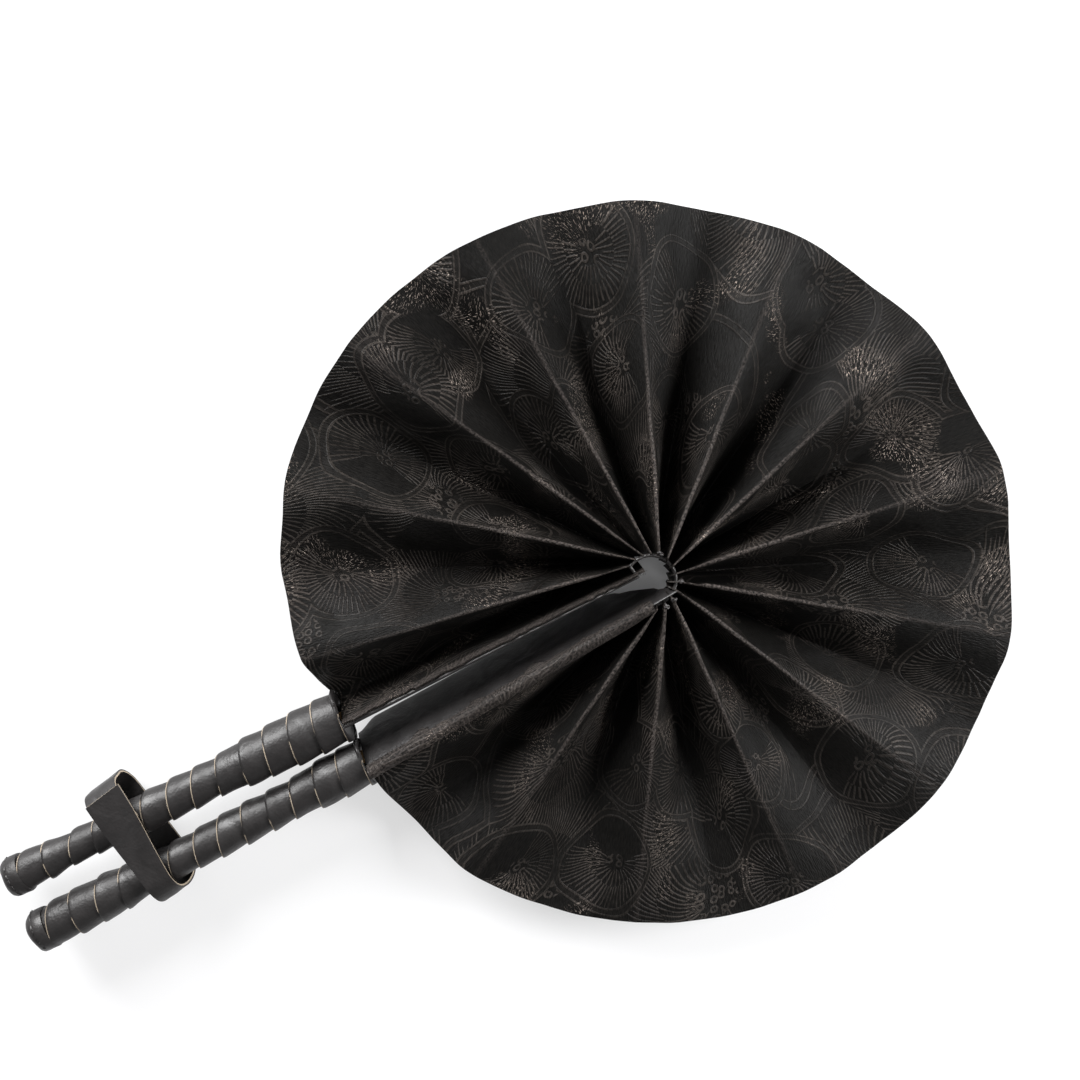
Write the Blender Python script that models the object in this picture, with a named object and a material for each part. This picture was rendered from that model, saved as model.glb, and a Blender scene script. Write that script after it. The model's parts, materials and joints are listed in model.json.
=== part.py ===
"""Round pleated fan that opens to a full circle, with two leather-wrapped handles and a leather keeper band.

The open fan lies face up: the handles point along -Y, the leaf lies round the hub and +Z is its front.
Handle A is fixed. The leaf leaves its guard, goes round the hub crease by crease and ends on handle B's guard.
Each crease turns on the one before it, and with the leaf folded flat handle B lies beside handle A.
"""

import math

import bmesh
import bpy
from mathutils import Matrix, Vector

MM = 0.001

# Leaf: one strip of stiffened brocade, pleated in equal panels.
RIM_RADIUS = 143 * MM
RIM_STRETCH = 3 * MM  # the opened leaf is this much longer one way across the hub, and shorter the other
RIM_STRETCH_ANGLE = math.radians(-57)
RIM_DRAWN_IN = 5 * MM  # the rim's shortfall at the crease beside a guard, halved at each crease after it
TIP_RADIUS = 12.5 * MM
TIP_SHARE = 0.72  # the creases' inner ends cover this share of the angle that their outer ends cover
PANEL_WIDTH = 34.5 * MM
LEAST_RIM_DEPTH = 1.5 * MM
PANEL_THICKNESS = 0.7 * MM
CREASE_GAP = 0.3 * MM
FOLDED_PITCH = 1.0 * MM
RIDGES = 13
FIRST_RIDGE_ANGLE = math.radians(167)  # from +Y, towards handle A
SECOND_RIDGE_ANGLE = math.radians(140)
PLEAT_ANGLE = math.radians(23.52)
PLEAT_GROWTH = math.radians(0.45)
CREST_ROUNDING = 0.85  # how soft the pleats are at the rim: 0 is a sharp fold, 1 a wave
PANEL_ROWS = 8
PANEL_COLUMNS = 4

# Guards: the leather-covered flat upper part of each handle, which carries an end of the leaf.
GUARD_INNER_Y = -5 * MM
GUARD_SHORT_OF_RIM = 12 * MM
GUARD_OUTER_Y = GUARD_SHORT_OF_RIM - RIM_RADIUS
GUARD_INNER_WIDTH = 32 * MM
GUARD_OUTER_WIDTH = 20 * MM
GUARD_INNER_THICKNESS = 2.2 * MM
GUARD_OUTER_THICKNESS = 3.4 * MM
GUARD_ROWS = 8
HEM_WIDTH = 2.5 * MM
FIT_GAP = 0.3 * MM

# Sticks: a wooden lath in the guard that runs on as a round rod in the grip.
LATH_WIDTH = 7.5 * MM
LATH_THICKNESS = 0.8 * MM
LATH_END_MARGIN = 8 * MM
STICK_DIAMETER = 8 * MM
STICK_TAPER = 12 * MM
STICK_TAPER_STEPS = 5
STICK_SIDES = 12

# Grips: a leather strip wound round each stick, each turn lapping over the next one towards the butt.
GRIP_A_LENGTH = 142 * MM
GRIP_B_LENGTH = 143.5 * MM
WRAP_PITCH = 10.6 * MM
WRAP_STEP = 1.2 * MM
WRAP_SIDES = 14
WRAP_LIP = 0.06 * MM
BUTT_THICKNESS = 3.2 * MM
BUTT_CHAMFER = 2.0 * MM
BUTT_SIDES = 14

# Keeper: a leather strip bent into a flat loop that slides over both grips, its ends lapped on the front.
KEEPER_WIDTH = 14.4 * MM
KEEPER_LEATHER = 1.2 * MM
KEEPER_Y = -222 * MM
KEEPER_SLIDE_UP = 22 * MM
KEEPER_SKEW = math.radians(11)
KEEPER_SKEW_ROOM = 0.6 * MM  # extra room beside grip B, because the loop hangs askew
KEEPER_SLIDE_LEAN = math.radians(1.5)  # the loop slides along grip B, but leans out past its swelling
KEEPER_PAST_GRIP_A = 17.9 * MM  # from grip A's axis to the outside of the loop
KEEPER_DEPTH = 25 * MM
KEEPER_BEND = 9 * MM
KEEPER_LAP = 9 * MM
KEEPER_FREE_EDGE = 2.2 * MM  # how far the outer end stops short of the loop's end

# Thread that gathers the pleats' inner ends.
THREAD_DIAMETER = 1.2 * MM
THREAD_BELOW_TIP = 3.5 * MM
THREAD_END_GAP = 1.2 * MM  # between the thread's ends and the guards' inner ends
THREAD_POINTS = 40

CREASES = 2 * RIDGES + 1  # creases 1 to 27: 1 is guard A's back edge, even ones are ridges, odd ones valleys


class Handle:
    """One handle: the line and tilt of its guard, and the line and thickness of its grip."""

    def __init__(self, name, guard_x, grip_x, tilts, leaf_side, length, radii):
        self.name = name
        self.inner = Vector((guard_x[0], GUARD_INNER_Y, 0))
        self.outer = Vector((guard_x[1], GUARD_OUTER_Y, 0))
        self.grip_top = Vector((grip_x[0], GUARD_OUTER_Y, 0))
        self.length = length
        self.butt = Vector((grip_x[1], GUARD_OUTER_Y - length, 0))
        self.inner_tilt = math.radians(tilts[0])
        self.outer_tilt = math.radians(tilts[1])
        self.leaf_side = leaf_side
        self.radii = radii

    def edge(self, share, side):
        """Point on the guard's front edge, side 1, or its back edge, side -1, which are straight lines."""
        ends = []
        for spot, tilt, width in (
            (self.inner, self.inner_tilt, GUARD_INNER_WIDTH),
            (self.outer, self.outer_tilt, GUARD_OUTER_WIDTH),
        ):
            ends.append(spot + Vector((math.cos(tilt), 0, math.sin(tilt))) * side * width / 2)
        return ends[0].lerp(ends[1], share)

    def width(self, share):
        return (self.edge(share, 1) - self.edge(share, -1)).length

    def thickness(self, share):
        return GUARD_INNER_THICKNESS + (GUARD_OUTER_THICKNESS - GUARD_INNER_THICKNESS) * share

    def guard_point(self, share, across, out):
        """Point on the guard: share runs from hub to rim, across from back to front edge, out to the leaf."""
        back, front = self.edge(share, -1), self.edge(share, 1)
        up = (front - back).normalized()
        leaf = Vector((-up.z, 0, up.x)) * self.leaf_side
        return (back + front) / 2 + up * across + leaf * out

    def radius(self, distance):
        """Mean grip radius at a distance from the grip's top."""
        spots = self.radii
        if distance <= spots[0][0]:
            return spots[0][1]
        for (start, first), (stop, second) in zip(spots, spots[1:]):
            if distance <= stop:
                share = (distance - start) / (stop - start)
                return first + (second - first) * (1 - math.cos(math.pi * share)) / 2
        return spots[-1][1]

    def grip_matrix(self):
        """Frame with its origin at the grip's top and +Z running to the butt."""
        down = (self.butt - self.grip_top).normalized()
        side = Vector((0, 0, 1)).cross(down).normalized()
        front = down.cross(side)
        turn = Matrix((side, front, down)).transposed().to_4x4()
        return Matrix.Translation(self.grip_top) @ turn


def grip_spots(*pairs):
    return [(distance * MM, radius * MM) for distance, radius in pairs]


HANDLE_A = Handle(
    "a",
    guard_x=(-5.7 * MM, -3.3 * MM),
    grip_x=(-3.3 * MM, -3.1 * MM),
    tilts=(85, 75),
    leaf_side=1,
    length=GRIP_A_LENGTH,
    radii=grip_spots((0, 10.0), (16, 10.1), (37, 9.2), (55, 7.3), (81, 7.4), (110, 6.3), (120, 6.2), (131, 7.1)),
)
HANDLE_B = Handle(
    "b",
    guard_x=(6.3 * MM, 14.6 * MM),
    grip_x=(16.9 * MM, 20.9 * MM),
    tilts=(84, 60),
    leaf_side=-1,
    length=GRIP_B_LENGTH,
    radii=grip_spots((0, 9.1), (15, 9.1), (32, 7.4), (57, 7.6), (80, 6.9), (102, 7.6), (114, 8.5), (132, 8.4), (143, 7.6)),
)


def material(name, colour, roughness, metallic=0.0):
    made = bpy.data.materials.new(name)
    made.use_nodes = True
    shader = made.node_tree.nodes["Principled BSDF"]
    shader.inputs["Base Color"].default_value = (*colour, 1)
    shader.inputs["Roughness"].default_value = roughness
    shader.inputs["Metallic"].default_value = metallic
    return made


def new_object(name, mesh, look, collection):
    mesh.materials.clear()
    mesh.materials.append(look)
    made = bpy.data.objects.new(name, mesh)
    collection.objects.link(made)
    return made


def mesh_from_bmesh(name, shape, sharp_degrees=35):
    bmesh.ops.recalc_face_normals(shape, faces=shape.faces)
    mesh = bpy.data.meshes.new(name)
    shape.to_mesh(mesh)
    shape.free()
    mesh.shade_smooth()
    mesh.set_sharp_from_angle(angle=math.radians(sharp_degrees))
    return mesh


def loft(name, sections, look, collection):
    """Closed solid through a row of rings that have the same number of points."""
    shape = bmesh.new()
    rings = [[shape.verts.new(point) for point in section] for section in sections]
    count = len(rings[0])
    for first, second in zip(rings, rings[1:]):
        for i in range(count):
            j = (i + 1) % count
            shape.faces.new((first[i], first[j], second[j]))
            shape.faces.new((first[i], second[j], second[i]))
    shape.faces.new(rings[0])
    shape.faces.new(rings[-1])
    return new_object(name, mesh_from_bmesh(name, shape), look, collection)


def thicken(path, thickness):
    """Outline of a strip of even thickness that follows an open 2D path."""
    points = [Vector(point) for point in path]
    left, right = [], []
    for i, point in enumerate(points):
        before = (point - points[i - 1]).normalized() if i else None
        after = (points[i + 1] - point).normalized() if i + 1 < len(points) else None
        if before is None or after is None:
            along = before or after
            normal = Vector((-along.y, along.x))
            reach = 1
        else:
            normal = (Vector((-before.y, before.x)) + Vector((-after.y, after.x))).normalized()
            reach = 1 / normal.dot(Vector((-before.y, before.x)))
        left.append(point + normal * thickness / 2 * reach)
        right.append(point - normal * thickness / 2 * reach)
    return left + right[::-1]


def cut(piece, cutter):
    """Takes the cutter's shape out of a piece."""
    boolean = piece.modifiers.new("cut", "BOOLEAN")
    boolean.operation = "DIFFERENCE"
    boolean.object = cutter


def as_cutter(piece):
    piece.display_type = "WIRE"
    piece.hide_render = True
    return piece


def ridge_angle(ridge):
    """Angle of a ridge's outer end from +Y, positive towards handle A."""
    if ridge == 1:
        return FIRST_RIDGE_ANGLE
    steps = ridge - 2
    return SECOND_RIDGE_ANGLE - PLEAT_ANGLE * steps - PLEAT_GROWTH / 2 * steps * steps


def hem_reach(share, handle):
    """From the guard's middle plane to the outside of the fabric on it."""
    return handle.thickness(share) / 2 + FIT_GAP + PANEL_THICKNESS + CREASE_GAP / 2


def guard_crease(handle, across_share):
    """Inner and outer end of a crease that runs along one edge of a guard."""
    return tuple(
        handle.guard_point(share, across_share * handle.width(share) / 2, hem_reach(share, handle))
        for share in (0, 1)
    )


FIRST_CREASE = guard_crease(HANDLE_A, -1)
LAST_BORDER = guard_crease(HANDLE_B, 1)


def crease_angle(crease):
    """Angle of a crease's outer end from +Y; valleys lie halfway between the ridges beside them."""
    if crease == 1:
        return math.atan2(-FIRST_CREASE[1].x, FIRST_CREASE[1].y)
    if crease == CREASES + 1:
        return math.atan2(-LAST_BORDER[1].x, LAST_BORDER[1].y)
    if crease % 2 == 0:
        return ridge_angle(crease // 2)
    return (crease_angle(crease - 1) + crease_angle(crease + 1)) / 2


def panel_chord(crease, radius, share):
    """Straight width across a panel beside a crease, in plan."""
    turn = (crease_angle(crease - 1) - crease_angle(crease + 1)) / 2 * share
    return 2 * radius * math.sin(turn / 2)


def tip_height(crease):
    """Half the pleats' depth at the hub, where each panel is flat and as wide as it was cut."""
    return math.sqrt(PANEL_WIDTH**2 - panel_chord(crease, TIP_RADIUS, TIP_SHARE) ** 2) / 2


def rim_height(crease):
    """Half the pleats' depth at the rim, where a wave as long as a panel is wide spans the chord."""
    chord = panel_chord(crease, RIM_RADIUS, 1)
    spare = max(PANEL_WIDTH / chord - 1, 0)
    return max(2 * chord / math.pi * math.sqrt(spare), LEAST_RIM_DEPTH)


def rim_radius(crease):
    steps = min(crease - 1, CREASES + 1 - crease)
    stretch = RIM_STRETCH * math.cos(2 * (crease_angle(crease) - RIM_STRETCH_ANGLE))
    return RIM_RADIUS + stretch - RIM_DRAWN_IN / 2 ** (steps - 1)


def around(radius, angle, height):
    return Vector((-radius * math.sin(angle), radius * math.cos(angle), height))


def crease_ends(crease):
    """Inner and outer end of a crease with the fan open."""
    if crease == 1:
        return FIRST_CREASE
    if crease == CREASES + 1:
        return LAST_BORDER
    sign = 1 if crease % 2 == 0 else -1
    angle = crease_angle(crease)
    tip = around(TIP_RADIUS, angle * TIP_SHARE, sign * tip_height(crease))
    rim = around(rim_radius(crease), angle, sign * rim_height(crease))
    return tip, rim


def crest(across, rounding):
    """Height across a panel, from 1 at a ridge to -1 at a valley: straight, or a wave where it is rounded."""
    return (1 - rounding) * (1 - 2 * across) + rounding * math.cos(math.pi * across)


def panel_surface(panel):
    """Function that gives the middle of a panel's thickness, from crease to crease and from hub to rim."""
    near, far = crease_ends(panel), crease_ends(panel + 1)
    along = (near[1] - near[0]).to_2d().normalized() + (far[1] - far[0]).to_2d().normalized()
    side = Vector((-along.y, along.x, 0)).normalized()
    if (far[1] - near[1]).dot(side) < 0:
        side.negate()

    def point(out, across):
        first, last = near[0].lerp(near[1], out), far[0].lerp(far[1], out)
        rounding = CREST_ROUNDING * out * out * (3 - 2 * out)
        rise = abs(first.z - last.z) * (1 - rounding)
        run = max((last - first).dot(side), 1e-9)
        margin = CREASE_GAP / 2 + PANEL_THICKNESS / 2 * rise / math.hypot(rise, run)
        start, stop = first + side * margin, last - side * margin
        spot = start.lerp(stop, across)
        middle, half = (first.z + last.z) / 2, (first.z - last.z) / 2
        spot.z = middle + half * crest(across, rounding)
        return spot

    return point


def leaf_panel(panel, look, collection):
    """One panel of the leaf as a thin closed sheet."""
    point = panel_surface(panel)
    step = 0.001
    shape = bmesh.new()
    sheets = ([], [])
    for row in range(PANEL_ROWS + 1):
        out = row / PANEL_ROWS
        for column in range(PANEL_COLUMNS + 1):
            across = column / PANEL_COLUMNS
            along = point(min(out + step, 1), across) - point(max(out - step, 0), across)
            over = point(out, min(across + step, 1)) - point(out, max(across - step, 0))
            normal = along.cross(over).normalized()
            for sheet, side in zip(sheets, (1, -1)):
                spot = point(out, across) + normal * PANEL_THICKNESS / 2 * side
                sheet.append(shape.verts.new(spot))
    width = PANEL_COLUMNS + 1
    for sheet in sheets:
        for row in range(PANEL_ROWS):
            for column in range(PANEL_COLUMNS):
                i = row * width + column
                shape.faces.new((sheet[i], sheet[i + 1], sheet[i + width + 1], sheet[i + width]))
    last = PANEL_ROWS * width
    edges = [(i, i + 1) for i in range(PANEL_COLUMNS)]
    edges += [(last + i, last + i + 1) for i in range(PANEL_COLUMNS)]
    edges += [(row * width, (row + 1) * width) for row in range(PANEL_ROWS)]
    edges += [(row * width + PANEL_COLUMNS, (row + 1) * width + PANEL_COLUMNS) for row in range(PANEL_ROWS)]
    top, bottom = sheets
    for i, j in edges:
        shape.faces.new((top[i], top[j], bottom[j], bottom[i]))
    name = f"leaf_panel_{panel:02d}"
    return new_object(name, mesh_from_bmesh(name, shape), look, collection)


def rounded_section(width, thickness, count=16, power=5):
    """Ring of points round a flat strip with rounded edges, as (across, out) pairs."""
    ring = []
    for i in range(count):
        turn = 2 * math.pi * (i + 0.5) / count
        across = math.copysign(abs(math.cos(turn)) ** (2 / power), math.cos(turn)) * width / 2
        out = math.copysign(abs(math.sin(turn)) ** (2 / power), math.sin(turn)) * thickness / 2
        ring.append((across, out))
    return ring


def guard_cover(handle, look, collection):
    """Leather sleeve over the lath, as wide as the leaf's end panel at the hub and narrower at the rim."""
    sections = []
    for row in range(GUARD_ROWS + 1):
        share = row / GUARD_ROWS
        ring = rounded_section(handle.width(share), handle.thickness(share))
        sections.append([handle.guard_point(share, across, out) for across, out in ring])
    return loft(f"guard_cover_{handle.name}", sections, look, collection)


def stick(handle, name, grown, look, collection):
    """Wooden stick: a thin lath up the guard that becomes a round rod down the grip."""
    guard_length = (handle.outer - handle.inner).length
    first = LATH_END_MARGIN / guard_length
    sections = []
    for row in range(GUARD_ROWS + 1):
        share = first + (1 - first) * row / GUARD_ROWS
        sections.append(stick_ring(handle, share, LATH_WIDTH, LATH_THICKNESS, grown))
    grip = handle.grip_matrix()
    tilt = handle.outer_tilt
    rings = []
    for step in range(1, STICK_TAPER_STEPS + 1):
        share = step / STICK_TAPER_STEPS
        thickness = LATH_THICKNESS + (STICK_DIAMETER - LATH_THICKNESS) * share
        width = LATH_WIDTH + (STICK_DIAMETER - LATH_WIDTH) * share
        rings.append((STICK_TAPER * share, width, thickness))
    rings.append((handle.length - FIT_GAP + 2 * grown, STICK_DIAMETER, STICK_DIAMETER))
    for distance, width, thickness in rings:
        ring = []
        off_axis = (handle.outer - handle.grip_top) * max(1 - distance / STICK_TAPER, 0)
        for i in range(STICK_SIDES):
            turn = 2 * math.pi * i / STICK_SIDES
            across = math.cos(turn) * (width / 2 + grown)
            out = math.sin(turn) * (thickness / 2 + grown) * handle.leaf_side
            x = across * math.cos(tilt) - out * math.sin(tilt)
            z = across * math.sin(tilt) + out * math.cos(tilt)
            ring.append(grip @ Vector((0, 0, distance)) + off_axis + Vector((x, 0, z)))
        sections.append(ring)
    return loft(name, sections, look, collection)


def stick_ring(handle, share, width, thickness, grown):
    ring = []
    for i in range(STICK_SIDES):
        turn = 2 * math.pi * i / STICK_SIDES
        across = math.cos(turn) * (width / 2 + grown)
        out = math.sin(turn) * (thickness / 2 + grown)
        ring.append(handle.guard_point(share, across, out))
    return ring


def leaf_end(handle, look, collection):
    """Fabric that ends the leaf on a guard: glued up handle A's leaf side, hemmed round handle B's front edge."""
    sections = []
    for row in range(GUARD_ROWS + 1):
        share = row / GUARD_ROWS
        edge = handle.width(share) / 2
        off = handle.thickness(share) / 2 + FIT_GAP + PANEL_THICKNESS / 2
        front = edge + FIT_GAP + PANEL_THICKNESS / 2
        if handle is HANDLE_A:
            path = [(edge, off), (-edge, off)]
        else:
            path = [(edge - HEM_WIDTH, -off), (front - off / 2, -off), (front, -off / 2), (front, off / 2)]
            path += [(front - off / 2, off), (edge - HEM_WIDTH, off)]
        outline = thicken(path, PANEL_THICKNESS)
        sections.append([handle.guard_point(share, across, out) for across, out in outline])
    return loft(f"leaf_end_{handle.name}", sections, look, collection)


def grip_wrap(handle, look, collection):
    """Spiral of lapped leather: each turn swells to its edge and steps down to the next."""
    shape = bmesh.new()
    spare = 1.2 * WRAP_PITCH
    count = math.ceil((handle.length + 2 * spare + WRAP_PITCH) / WRAP_PITCH * WRAP_SIDES)
    low, high = [], []
    for i in range(count):
        turn = -2 * math.pi * i / WRAP_SIDES
        start = WRAP_PITCH * i / WRAP_SIDES - spare - WRAP_PITCH / 2
        stop = start + WRAP_PITCH - WRAP_LIP
        for row, distance, lift in ((low, start, -WRAP_STEP / 2), (high, stop, WRAP_STEP / 2)):
            radius = handle.radius(distance) + lift
            row.append(shape.verts.new((radius * math.cos(turn), radius * math.sin(turn), distance)))
    for i in range(count - 1):
        shape.faces.new((low[i], low[i + 1], high[i + 1], high[i]))
    for i in range(count - 1 - WRAP_SIDES):
        j = i + WRAP_SIDES
        shape.faces.new((high[i], high[i + 1], low[j + 1], low[j]))
    ends = ((FIT_GAP, -1), (handle.length, 1))
    for distance, way in ends:
        everything = shape.verts[:] + shape.edges[:] + shape.faces[:]
        found = bmesh.ops.bisect_plane(
            shape,
            geom=everything,
            plane_co=(0, 0, distance),
            plane_no=(0, 0, way),
            clear_outer=True,
        )
        loop = [item for item in found["geom_cut"] if isinstance(item, bmesh.types.BMEdge)]
        bmesh.ops.contextual_create(shape, geom=loop)
    name = f"grip_wrap_{handle.name}"
    made = new_object(name, mesh_from_bmesh(name, shape, 25), look, collection)
    made.matrix_world = handle.grip_matrix()
    return made


def butt_fold(handle, look, collection):
    """Leather folded in over the stick's end, turned from a profile with a cut corner."""
    radius = handle.radius(handle.length) - WRAP_STEP / 2
    top = handle.length + FIT_GAP
    profile = [
        (0, top),
        (radius, top),
        (radius, top + BUTT_THICKNESS - BUTT_CHAMFER),
        (radius - BUTT_CHAMFER, top + BUTT_THICKNESS),
        (0, top + BUTT_THICKNESS),
    ]
    shape = bmesh.new()
    spots = [shape.verts.new((x, 0, z)) for x, z in profile]
    for first, second in zip(spots, spots[1:]):
        shape.edges.new((first, second))
    bmesh.ops.spin(
        shape,
        geom=shape.verts[:] + shape.edges[:],
        cent=(0, 0, 0),
        axis=(0, 0, 1),
        angle=2 * math.pi,
        steps=BUTT_SIDES,
    )
    bmesh.ops.remove_doubles(shape, verts=shape.verts, dist=0.01 * MM)
    name = f"butt_fold_{handle.name}"
    made = new_object(name, mesh_from_bmesh(name, shape), look, collection)
    made.matrix_world = handle.grip_matrix()
    return made


def arc(centre, radius, start, stop, steps):
    """Points on a circle between two angles in degrees."""
    points = []
    for i in range(steps + 1):
        turn = math.radians(start + (stop - start) * i / steps)
        points.append((centre[0] + radius * math.cos(turn), centre[1] + radius * math.sin(turn)))
    return points


def grip_centre(handle, y):
    share = (y - handle.grip_top.y) / (handle.butt.y - handle.grip_top.y)
    return handle.grip_top.lerp(handle.butt, share)


def widest_grip(handle, first_y, last_y):
    """Largest outer radius of a grip between two places along it."""
    widest = 0
    for i in range(41):
        y = first_y + (last_y - first_y) * i / 40
        widest = max(widest, handle.radius(handle.grip_top.y - y) + WRAP_STEP / 2)
    return widest


def keeper_band(look, collection):
    """Loop of leather that lies close round grip B and hangs lower at grip A, its ends lapped on the front."""
    half = KEEPER_LEATHER / 2
    a, b = grip_centre(HANDLE_A, KEEPER_Y).x, grip_centre(HANDLE_B, KEEPER_Y).x
    spread = KEEPER_WIDTH / 2 + (b - a + KEEPER_PAST_GRIP_A) / 2 * math.sin(KEEPER_SKEW)
    top = KEEPER_Y + KEEPER_SLIDE_UP + spread
    on_a = widest_grip(HANDLE_A, top, HANDLE_A.butt.y) + FIT_GAP
    on_b = widest_grip(HANDLE_B, top, HANDLE_B.butt.y) + FIT_GAP
    left = a - KEEPER_PAST_GRIP_A + half
    right = b + on_b + KEEPER_SKEW_ROOM + half
    front = max(on_a + KEEPER_LEATHER + FIT_GAP, on_b) + half
    back = front - KEEPER_DEPTH + KEEPER_LEATHER
    under = front - KEEPER_LEATHER - FIT_GAP
    bend = KEEPER_BEND - half
    bend_b = (front + on_b + half) / 2
    tuck = bend - (front - under) / 2
    low = Vector((left + bend, back + bend))
    far = Vector((right - bend_b, front - bend_b))
    line = far - low
    foot = math.atan2(line.y, line.x) - math.acos((bend - bend_b) / line.length)
    foot = math.degrees(foot) + 360
    path = [(left + tuck + KEEPER_LAP, under)]
    path += arc((left + tuck, under - tuck), tuck, 90, 180, 5)
    path += arc(low, bend, 180, foot, 5)
    path += arc(far, bend_b, foot, 450, 10)
    path.append((left + KEEPER_FREE_EDGE, front))
    middle = Vector(((left + right) / 2, KEEPER_Y, 0))
    curve = bpy.data.curves.new("keeper_band", "CURVE")
    curve.dimensions = "2D"
    curve.fill_mode = "BOTH"
    curve.extrude = KEEPER_WIDTH / 2
    outline = thicken(path, KEEPER_LEATHER)
    spline = curve.splines.new("POLY")
    spline.points.add(len(outline) - 1)
    for point, (x, z) in zip(spline.points, outline):
        point.co = (x - middle.x, z, 0, 1)
    spline.use_cyclic_u = True
    made = bpy.data.objects.new("keeper_band", curve)
    curve.materials.append(look)
    collection.objects.link(made)
    stand = Matrix.Rotation(math.radians(90), 4, "X")
    made.matrix_world = Matrix.Translation(middle) @ Matrix.Rotation(KEEPER_SKEW, 4, "Z") @ stand
    return made


def keeper_slide():
    """Direction in which the keeper slides down off the grips."""
    down = (HANDLE_B.butt - HANDLE_B.grip_top).normalized()
    return Matrix.Rotation(KEEPER_SLIDE_LEAN, 3, "Z") @ down


def gather_thread(look, collection):
    """Thread drawn round the pleats' front tips, from one guard's inner end to the other's."""
    inset = 2 * FIT_GAP + THREAD_DIAMETER / 2
    radius = TIP_RADIUS - inset
    height = crease_ends(2)[0].z - THREAD_BELOW_TIP
    first, last = crease_angle(2) * TIP_SHARE, crease_angle(CREASES - 1) * TIP_SHARE
    points = []
    for i in range(THREAD_POINTS + 1):
        angle = first + (last - first) * i / THREAD_POINTS
        points.append(around(radius, angle, height))
    for handle, place in ((HANDLE_A, 0), (HANDLE_B, len(points) + 1)):
        across = height / math.sin(handle.inner_tilt)
        end = handle.guard_point(0, across, 0)
        end.y += THREAD_END_GAP + THREAD_DIAMETER / 2
        points.insert(place, end)
    curve = bpy.data.curves.new("gather_thread", "CURVE")
    curve.dimensions = "3D"
    curve.bevel_depth = THREAD_DIAMETER / 2
    curve.bevel_resolution = 2
    curve.use_fill_caps = True
    spline = curve.splines.new("POLY")
    spline.points.add(len(points) - 1)
    for point, spot in zip(spline.points, points):
        point.co = (*spot, 1)
    made = bpy.data.objects.new("gather_thread", curve)
    curve.materials.append(look)
    collection.objects.link(made)
    return made


def folded_ends(crease):
    """Inner and outer end of a crease with the leaf folded flat against guard A."""
    tilt = (HANDLE_A.inner_tilt + HANDLE_A.outer_tilt) / 2
    front = Vector((math.cos(tilt), 0, math.sin(tilt)))
    out = Vector((-math.sin(tilt), 0, math.cos(tilt)))
    along = (HANDLE_A.outer - HANDLE_A.inner).normalized()
    start = HANDLE_A.inner
    if crease == CREASES + 1:
        stack = 2 * hem_reach(0.5, HANDLE_A) + FOLDED_PITCH * CREASES
        inner = start + out * stack
        return inner, inner + along * (HANDLE_B.butt - HANDLE_B.inner).length
    tip, rim = crease_ends(crease)
    sign = 1 if crease % 2 == 0 else -1
    stack = hem_reach(0.5, HANDLE_A) + FOLDED_PITCH * (crease - 1)
    inner = start + out * stack + front * sign * PANEL_WIDTH / 2
    return inner, inner + along * (rim - tip).length


def placement(inner, outer, up):
    """Frame at a line's inner end, with Y along the line and Z as near to the up direction as it can be."""
    along = (outer - inner).normalized()
    rise = (up - along * up.dot(along)).normalized()
    turn = Matrix((along.cross(rise), along, rise)).transposed().to_4x4()
    return Matrix.Translation(inner) @ turn


def hinge_line(move):
    """Point, direction and angle of the turn that comes nearest to a rigid move."""
    axis, angle = move.to_quaternion().to_axis_angle()
    axis.normalize()
    shift = move.to_translation()
    shift -= axis * shift.dot(axis)
    spot = (shift + axis.cross(shift) / math.tan(angle / 2)) / 2
    return spot, axis, angle


def hinges():
    """Hinge of each crease on the one before it: crease number, point, direction and folding angle."""
    tilt = (HANDLE_A.inner_tilt + HANDLE_A.outer_tilt) / 2
    folded_up = Vector((math.cos(tilt), 0, math.sin(tilt)))
    carried = Matrix.Identity(4)
    found = []
    for crease in range(2, CREASES + 2):
        rest, up = crease_ends(crease), Vector((0, 0, 1))
        if crease == CREASES + 1:
            rest = (HANDLE_B.inner, HANDLE_B.butt)
            up = HANDLE_B.edge(0.5, 1) - HANDLE_B.edge(0.5, -1)
        goal = placement(*folded_ends(crease), folded_up) @ placement(*rest, up).inverted()
        spot, axis, angle = hinge_line(carried.inverted() @ goal)
        found.append((crease, spot, axis, angle))
        turn = Matrix.Translation(spot) @ Matrix.Rotation(angle, 4, axis) @ Matrix.Translation(-spot)
        carried = carried @ turn
    return found


def body_name(crease):
    if crease == CREASES + 1:
        return "handle_b"
    return f"ridge_{crease // 2:02d}" if crease % 2 == 0 else f"valley_{crease // 2:02d}"


def empty(name, matrix, parent, collection):
    """Marks a joint: its Z axis is the joint's axis."""
    made = bpy.data.objects.new(name, None)
    made.empty_display_size = 10 * MM
    collection.objects.link(made)
    made.parent = parent
    made.matrix_world = matrix
    return made


def hold(piece, parent):
    """Parents a piece without moving it."""
    place = piece.matrix_world.copy()
    piece.parent = parent
    piece.matrix_parent_inverse = parent.matrix_world.inverted()
    piece.matrix_world = place


def joint_empties(base, collection):
    """Chain of empties, one on each hinge, each the child of the one before."""
    joints = {}
    parent = base
    for crease, spot, axis, _ in hinges():
        turn = Vector((0, 0, 1)).rotation_difference(axis).to_matrix().to_4x4()
        parent = empty(f"axis_{body_name(crease)}", Matrix.Translation(spot) @ turn, parent, collection)
        joints[crease] = parent
        bpy.context.view_layer.update()
    return joints


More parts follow.
